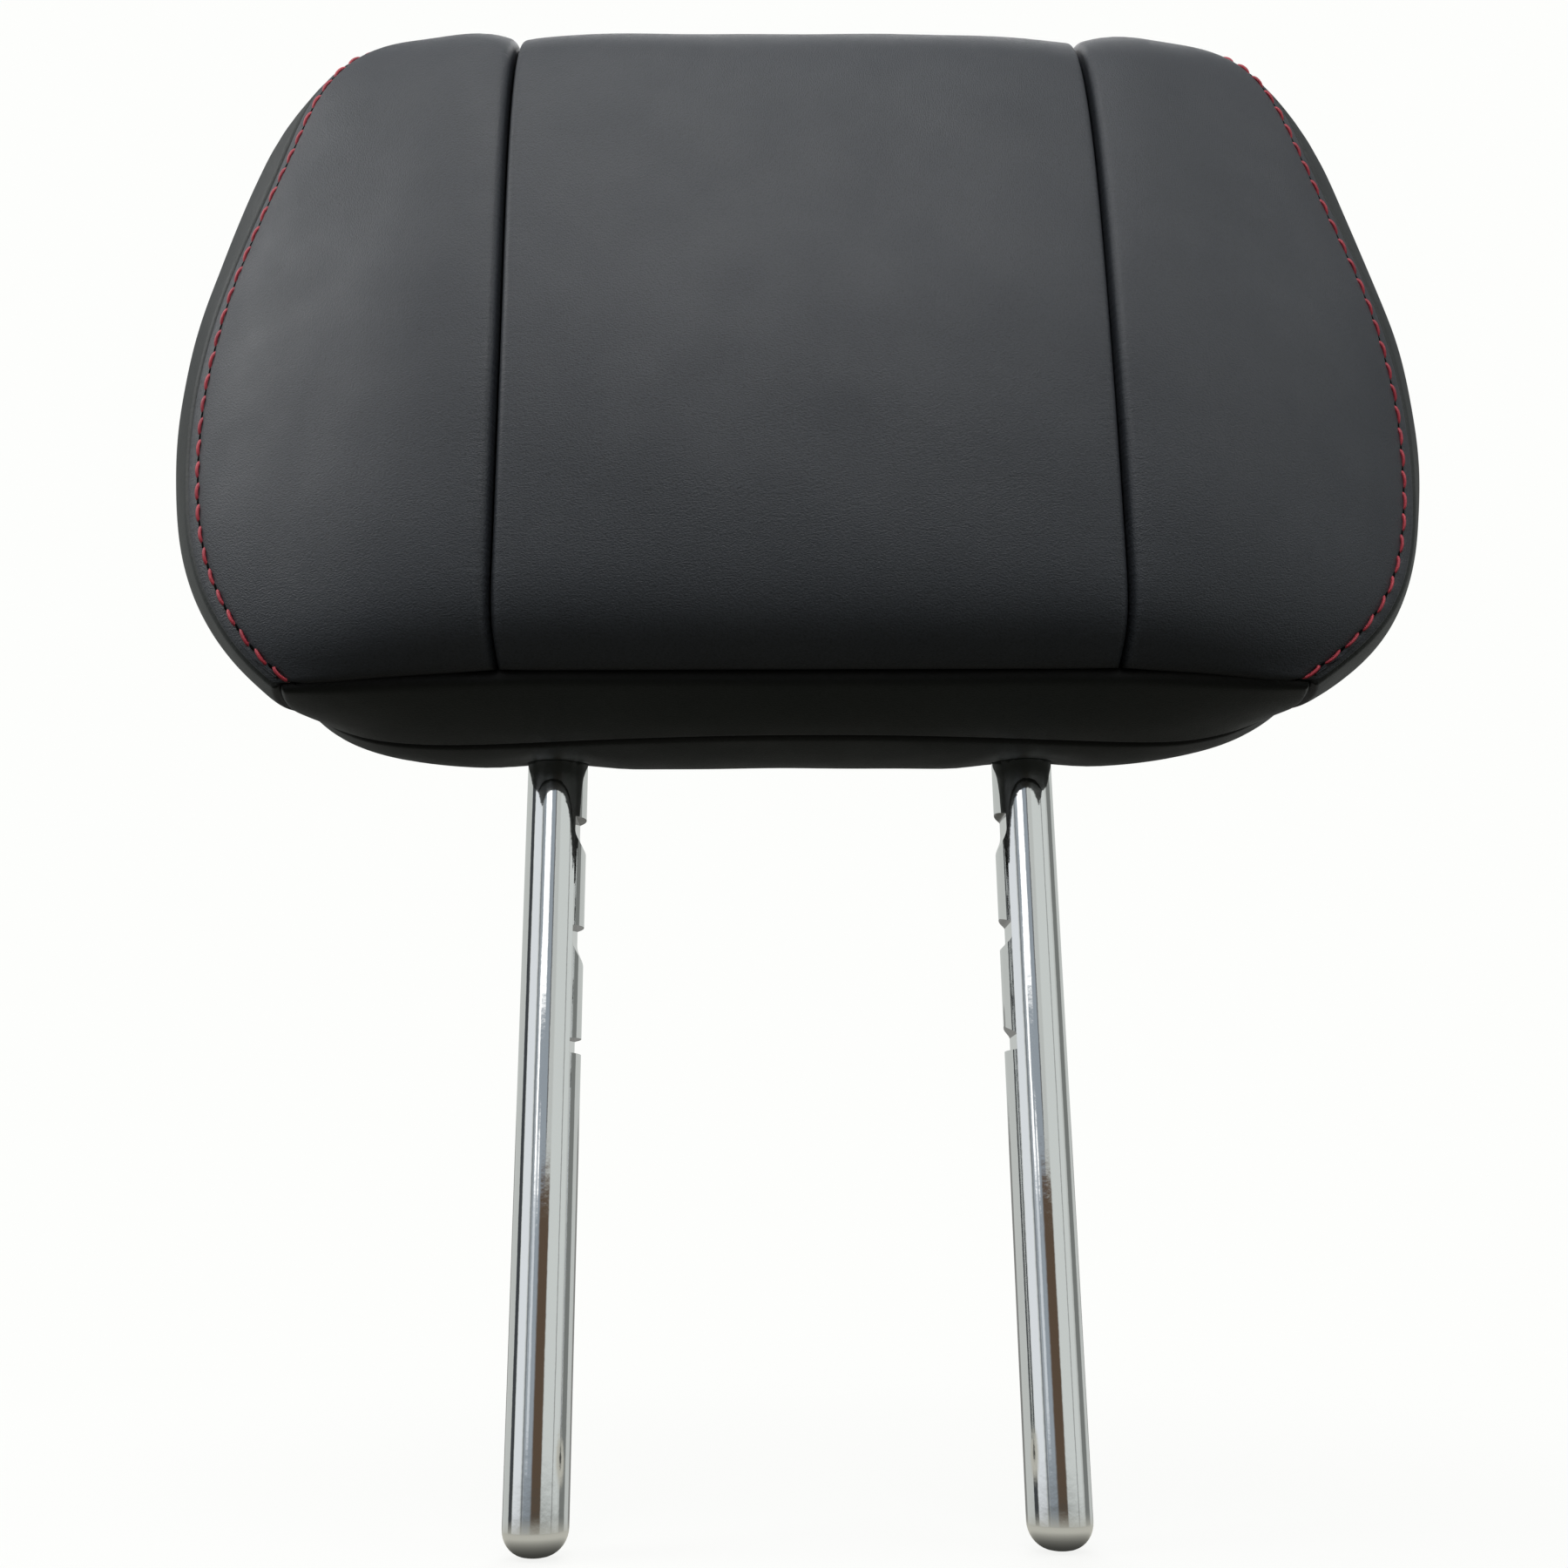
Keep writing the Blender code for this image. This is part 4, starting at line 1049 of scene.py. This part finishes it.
red = thread_red()
hole_shade_material = painted_hole_shade()
stitch_row = row_tree("row_of_stitches", stitch_geometry, 1)
hole_row = row_tree("row_of_needle_holes", hole_geometry, 0)
for side_name, turn in (("left", -1), ("right", 1)):
    bolster = cover["front_%s_bolster" % side_name]
    column = -1 - near_stitch.index(stitch_from_seam)
    sewn = bolster["cloth"][:, column, 0] >= first_stitch
    line = bolster["outer"][sewn, column], bolster["normal"][sewn, column]
    thread = sewn_row(side_name + "_red_topstitch", stitch_row, line, red, 0.5 * thread_radius,
                      turn * stitch_slant)
    dress(thread, None, "thread", side_name + "_topstitch")
    # The needle holes are near-black balls: painted shade for the holes' insides.
    holes = sewn_row(side_name + "_needle_holes", hole_row, line, hole_shade_material, 0.0, turn * stitch_slant)
    dress(holes, None, "leather")


# The foam core
# Moulded polyurethane foam, a little smaller than the cover all round, with a groove under each
# seam. It has a pocket for the insert, a well for each collar and a channel for the closure.
foam_near = (0, 0.0012, 0.0028, 0.0055)
foam_rows = 44
foam_counts = (14, 8, 6)
fitting_gap = 0.0003
closure_depth = 0.003
well_depth = 0.019


def grey_foam():
    """Moulded polyurethane foam with an open skin."""
    material, tree, shader = new_material("grey_foam")
    place = node(tree, "ShaderNodeTexCoord").outputs["Object"]
    cells = node(tree, "ShaderNodeTexVoronoi", {"Vector": place, "Scale": 900.0})
    colour = mixed_colour(tree, cells.outputs["Distance"], (0.10, 0.10, 0.095, 1.0),
                          (0.20, 0.20, 0.19, 1.0))
    tree.links.new(colour, shader.inputs["Base Color"])
    shader.inputs["Roughness"].default_value = 0.95
    relief(tree, shader, cells.outputs["Distance"], 0.5, 0.0003)
    return material


def box_round(nodes, gap):
    """The corners of a box that holds some nodes with a gap all round."""
    corners = [np.array(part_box(name)) for name in nodes]
    low = np.min([corner[0] for corner in corners], axis=0) - gap
    high = np.max([corner[1] for corner in corners], axis=0) + gap
    return low, high


def box_cutter(low, high):
    """A closed box between two corners."""
    points = [(x, y, z) for z in (low[2], high[2]) for x, y in (
        (low[0], low[1]), (high[0], low[1]), (high[0], high[1]), (low[0], high[1]))]
    return plain_object("foam_cutter", points, ring_faces(2, 4))


def make_foam():
    """The core as one closed skin under the leather, with its hollows cut out."""
    inside, points, normals = filled_cover((foam_near, foam_near), foam_rows, foam_counts, filling)
    depth = np.zeros(len(points))
    for panel in inside.values():
        np.maximum.at(depth, panel["numbers"], panel["drop"])
    depth += leather_thickness + foam_gap + unevenness_height
    skin = points - normals * depth[:, None] + [pad_shift, 0, 0]
    quads = np.concatenate([outward_quads(points, panel) for panel in inside.values()])
    core = plain_object("moulded_foam", skin, [tuple(quad) for quad in quads.tolist()])
    insert_low, insert_high = box_round(("insert_front", "insert_rear"), fitting_gap)
    closure_low, closure_high = box_round(("front_closure_strip", "rear_closure_strip"), fitting_gap)
    closure_low[2] -= closure_depth
    cutters = [box_cutter(insert_low, insert_high), box_cutter(closure_low, closure_high)]
    for side, name in ((-1, "left_post_grommet"), (1, "right_post_grommet")):
        low, high = box_round((name,), fitting_gap)
        radius = (high[0] - low[0]) / 2
        bottom, top = pad_base - well_depth, insert_low[2] + fitting_gap
        cutters.append(round_cutter(side * post_spacing / 2, radius, bottom, top))
    cut_away(core, cutters)
    return core


foam_piece = make_foam()
dress(foam_piece, grey_foam(), "foam", "foam_core")


# The hidden hardware
# The insert is two black plastic shells, clamped round the rod by four zinc-plated screws. Collars
# line the leather's holes, and hooked strips close the slit. Their solids keep their own shapes.
def moulded_plastic():
    """Black injection-moulded plastic with a fine spark-eroded texture."""
    material, tree, shader = toned("moulded_black_plastic", 0.02, 1.5, (0.018, 0.018, 0.020),
                                   (0.026, 0.026, 0.028), 0.5)
    texture = placed_group(tree, unevenness, Size=0.0006, Contrast=1.0)
    relief(tree, shader, texture.outputs["Height"], 0.25, 0.0001)
    return material


def zinc():
    """Zinc-plated screw steel."""
    material, tree, shader = toned("zinc_plate", 0.003, 1.8, (0.48, 0.48, 0.44), (0.60, 0.60, 0.58), 0.35)
    shader.inputs["Metallic"].default_value = 1.0
    return material


plastic, screw_zinc = moulded_plastic(), zinc()
for node_name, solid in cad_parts.items():
    if node_name.startswith("insert_screw"):
        surface = screw_zinc
    elif node_name.startswith("insert") or node_name.endswith(("grommet", "strip")):
        surface = plastic
    else:
        continue
    solid.data.materials.clear()
    solid.data.materials.append(surface)


# The studio
# A pale floor and a white surround, with soft lamps above, at the left and behind. The metal sees
# a plain room of its own, made of upright strips that are lighter and darker.
backdrop_white = (0.985, 0.990, 0.975, 1.0)


def between(tree, value, low, high, softness):
    """A mask that is 1 where a value lies between two limits, with soft edges."""
    away = calc(tree, "SUBTRACT", value, (low + high) / 2)
    half = (high - low) / 2
    return ranged(tree, calc(tree, "ABSOLUTE", away), half + softness / 2, half - softness / 2,
                  interpolation_type="SMOOTHSTEP")


def rising(tree, value, low, high):
    """A mask that rises smoothly from 0 to 1 between two limits."""
    return ranged(tree, value, low, high, interpolation_type="SMOOTHSTEP")


def metal_room(tree, axes):
    """What the metal sees: a pale room with upright strips in it."""
    front = calc(tree, "MULTIPLY", axes.outputs["Y"], -1.0)
    around = calc(tree, "DEGREES", calc(tree, "ARCTAN2", axes.outputs["X"], front))
    # Left and right side and softness in degrees, foot and head as a direction's height, colour
    strips = [
        (-82, -50, 5, -1.0, 1.0, (0.80, 0.83, 0.86)),
        (-102, -84, 3, -1.0, 1.0, (0.055, 0.06, 0.065)),
        (-47, -41, 3, -1.0, 1.0, (0.22, 0.24, 0.26)),
        (-40, 4, 3, -1.0, 1.0, (0.32, 0.36, 0.40)),
        (-36, -27, 4, -0.20, -0.01, (0.66, 0.70, 0.74)),
        (-33, -12, 3, 0.085, 1.0, (1.50, 1.50, 1.50)),
        (-36, -29, 2, -0.035, 0.12, (1.40, 1.40, 1.40)),
        (-12, 22, 8, -1.0, -0.035, (0.110, 0.076, 0.052)),
        (-24, -19, 2, -0.045, 0.0, (1.30, 1.30, 1.30)),
        (2, 6, 2, -0.01, 1.0, (0.16, 0.165, 0.17)),
        (8, 22, 3, 0.0, 1.0, (0.56, 0.58, 0.56)),
        (22, 84, 6, -1.0, 1.0, (0.66, 0.69, 0.67)),
        (60, 64, 2, -1.0, 1.0, (0.36, 0.37, 0.36)),
        (92, 120, 6, -1.0, 1.0, (0.20, 0.21, 0.20)),
        (150, 200, 8, -1.0, 0.05, (0.24, 0.24, 0.23)),
        (-200, -150, 8, -1.0, 0.05, (0.24, 0.24, 0.23)),
    ]
    colour = (0.56, 0.58, 0.56, 1.0)
    for left, right, softness, low, high, tint in strips:
        beside = between(tree, around, left, right, softness)
        upright = between(tree, axes.outputs["Z"], low, high, 0.04)
        colour = mixed_colour(tree, calc(tree, "MULTIPLY", beside, upright), colour, (*tint, 1.0))
    return colour


def studio_world():
    """White for the camera, light from overhead for the object, and a pale room for the metal."""
    world = bpy.data.worlds.new("studio")
    world.use_nodes = True
    tree = world.node_tree
    tree.nodes.clear()
    axes = node(tree, "ShaderNodeSeparateXYZ", {0: node(tree, "ShaderNodeTexCoord").outputs["Generated"]})
    height = axes.outputs["Z"]
    unlit = (0.07, 0.07, 0.06, 1.0)
    room = mixed_colour(tree, rising(tree, height, -0.30, -0.20), unlit, metal_room(tree, axes))
    room = mixed_colour(tree, rising(tree, height, 0.30, 0.50), room, (0.26, 0.27, 0.28, 1.0))
    overhead = ranged(tree, height, 0.16, 0.95)
    soft = mixed_colour(tree, overhead, (0.030, 0.029, 0.022, 1.0), (0.62, 0.63, 0.65, 1.0))
    path = node(tree, "ShaderNodeLightPath")
    light = mixed_colour(tree, path.outputs["Is Glossy Ray"], soft, room)
    seen = mixed_colour(tree, path.outputs["Is Camera Ray"], light, backdrop_white)
    background = node(tree, "ShaderNodeBackground", {"Color": seen, "Strength": 1.0})
    output = tree.nodes.new("ShaderNodeOutputWorld")
    tree.links.new(background.outputs[0], output.inputs[0])
    bpy.context.scene.world = world


def mixed_shader(tree, share, first, second):
    """Two shaders mixed by a mask."""
    return node(tree, "ShaderNodeMixShader", {0: share, 1: first, 2: second}).outputs[0]


def studio_floor():
    """A pale floor: nearly white to the camera, pale grey to soft light, and open to the metal but for a
    painted reflection round each post's tip.
    """
    side = 4.0
    drop = -0.0003
    corners = [(-side, -side, drop), (side, -side, drop), (side, side, drop), (-side, side, drop)]
    floor = plain_object("studio_floor", corners, [(0, 1, 2, 3)])
    material = bpy.data.materials.new("studio_floor")
    material.use_nodes = True
    tree = material.node_tree
    tree.nodes.clear()
    path = node(tree, "ShaderNodeLightPath")
    dim = node(tree, "ShaderNodeBsdfDiffuse", {"Color": (0.10, 0.098, 0.085, 1.0)})
    pale = node(tree, "ShaderNodeBsdfDiffuse", {"Color": (0.80, 0.80, 0.79, 1.0)})
    white = node(tree, "ShaderNodeEmission", {"Color": backdrop_white, "Strength": 1.0})
    clear = node(tree, "ShaderNodeBsdfTransparent")
    place = node(tree, "ShaderNodeTexCoord").outputs["Object"]
    away = node(tree, "ShaderNodeVectorMath", {0: place}, operation="LENGTH")
    shadow = calc(tree, "MULTIPLY", rising(tree, away.outputs["Value"], 0.60, 0.15), 0.12)
    seen = mixed_shader(tree, shadow, white.outputs[0], pale.outputs[0])
    by_camera = mixed_shader(tree, path.outputs["Is Camera Ray"], dim.outputs[0], seen)
    half = post_spacing / 2
    both = node(tree, "ShaderNodeVectorMath", {0: place}, operation="ABSOLUTE")
    reach = node(tree, "ShaderNodeVectorMath", {0: both.outputs[0], 1: (half, 0, 0)}, operation="DISTANCE")
    # Round each post's tip the metal sees a glowing patch: a painted reflection of lit brownish floor that
    # darkens to a painted contact shadow right at the tip.
    close = rising(tree, reach.outputs["Value"], 0.045, 0.020)
    painted_tip_reflection = mixed_colour(tree, rising(tree, reach.outputs["Value"], 0.003, 0.016),
                         (0.05, 0.05, 0.045, 1.0), (0.52, 0.51, 0.45, 1.0))
    painted_floor_glow = node(tree, "ShaderNodeEmission", {"Color": painted_tip_reflection, "Strength": 1.0})
    in_metal = mixed_shader(tree, close, clear.outputs[0], painted_floor_glow.outputs[0])
    upper = mixed_shader(tree, path.outputs["Is Glossy Ray"], by_camera, in_metal)
    back = node(tree, "ShaderNodeNewGeometry").outputs["Backfacing"]
    output = tree.nodes.new("ShaderNodeOutputMaterial")
    tree.links.new(mixed_shader(tree, back, upper, clear.outputs[0]), output.inputs[0])
    floor.data.materials.append(material)


def soft_lamp(name, place, size, watts):
    """A square soft lamp aimed at the middle of the pad."""
    data = bpy.data.lights.new(name, "AREA")
    data.size = size
    data.energy = watts
    lamp = bpy.data.objects.new(name, data)
    lamp.location = place
    aim = Vector(pad_middle) - Vector(place)
    lamp.rotation_mode = "QUATERNION"
    lamp.rotation_quaternion = aim.to_track_quat("-Z", "Y")
    bpy.context.scene.collection.objects.link(lamp)


studio_world()
studio_floor()
soft_lamp("key_lamp", (-0.15, -0.45, 1.45), 0.8, 4.1)
soft_lamp("front_lamp", (0.0, -1.0, 1.22), 0.8, 6.4)
soft_lamp("left_lamp", (-1.0, -0.20, 1.00), 0.6, 6.0)
soft_lamp("side_lamp", (0.9, -0.5, 1.1), 0.6, 2.6)
soft_lamp("rear_lamp", (0.1, 0.9, 1.2), 0.9, 9.5)
bpy.context.scene.view_settings.view_transform = "Standard"
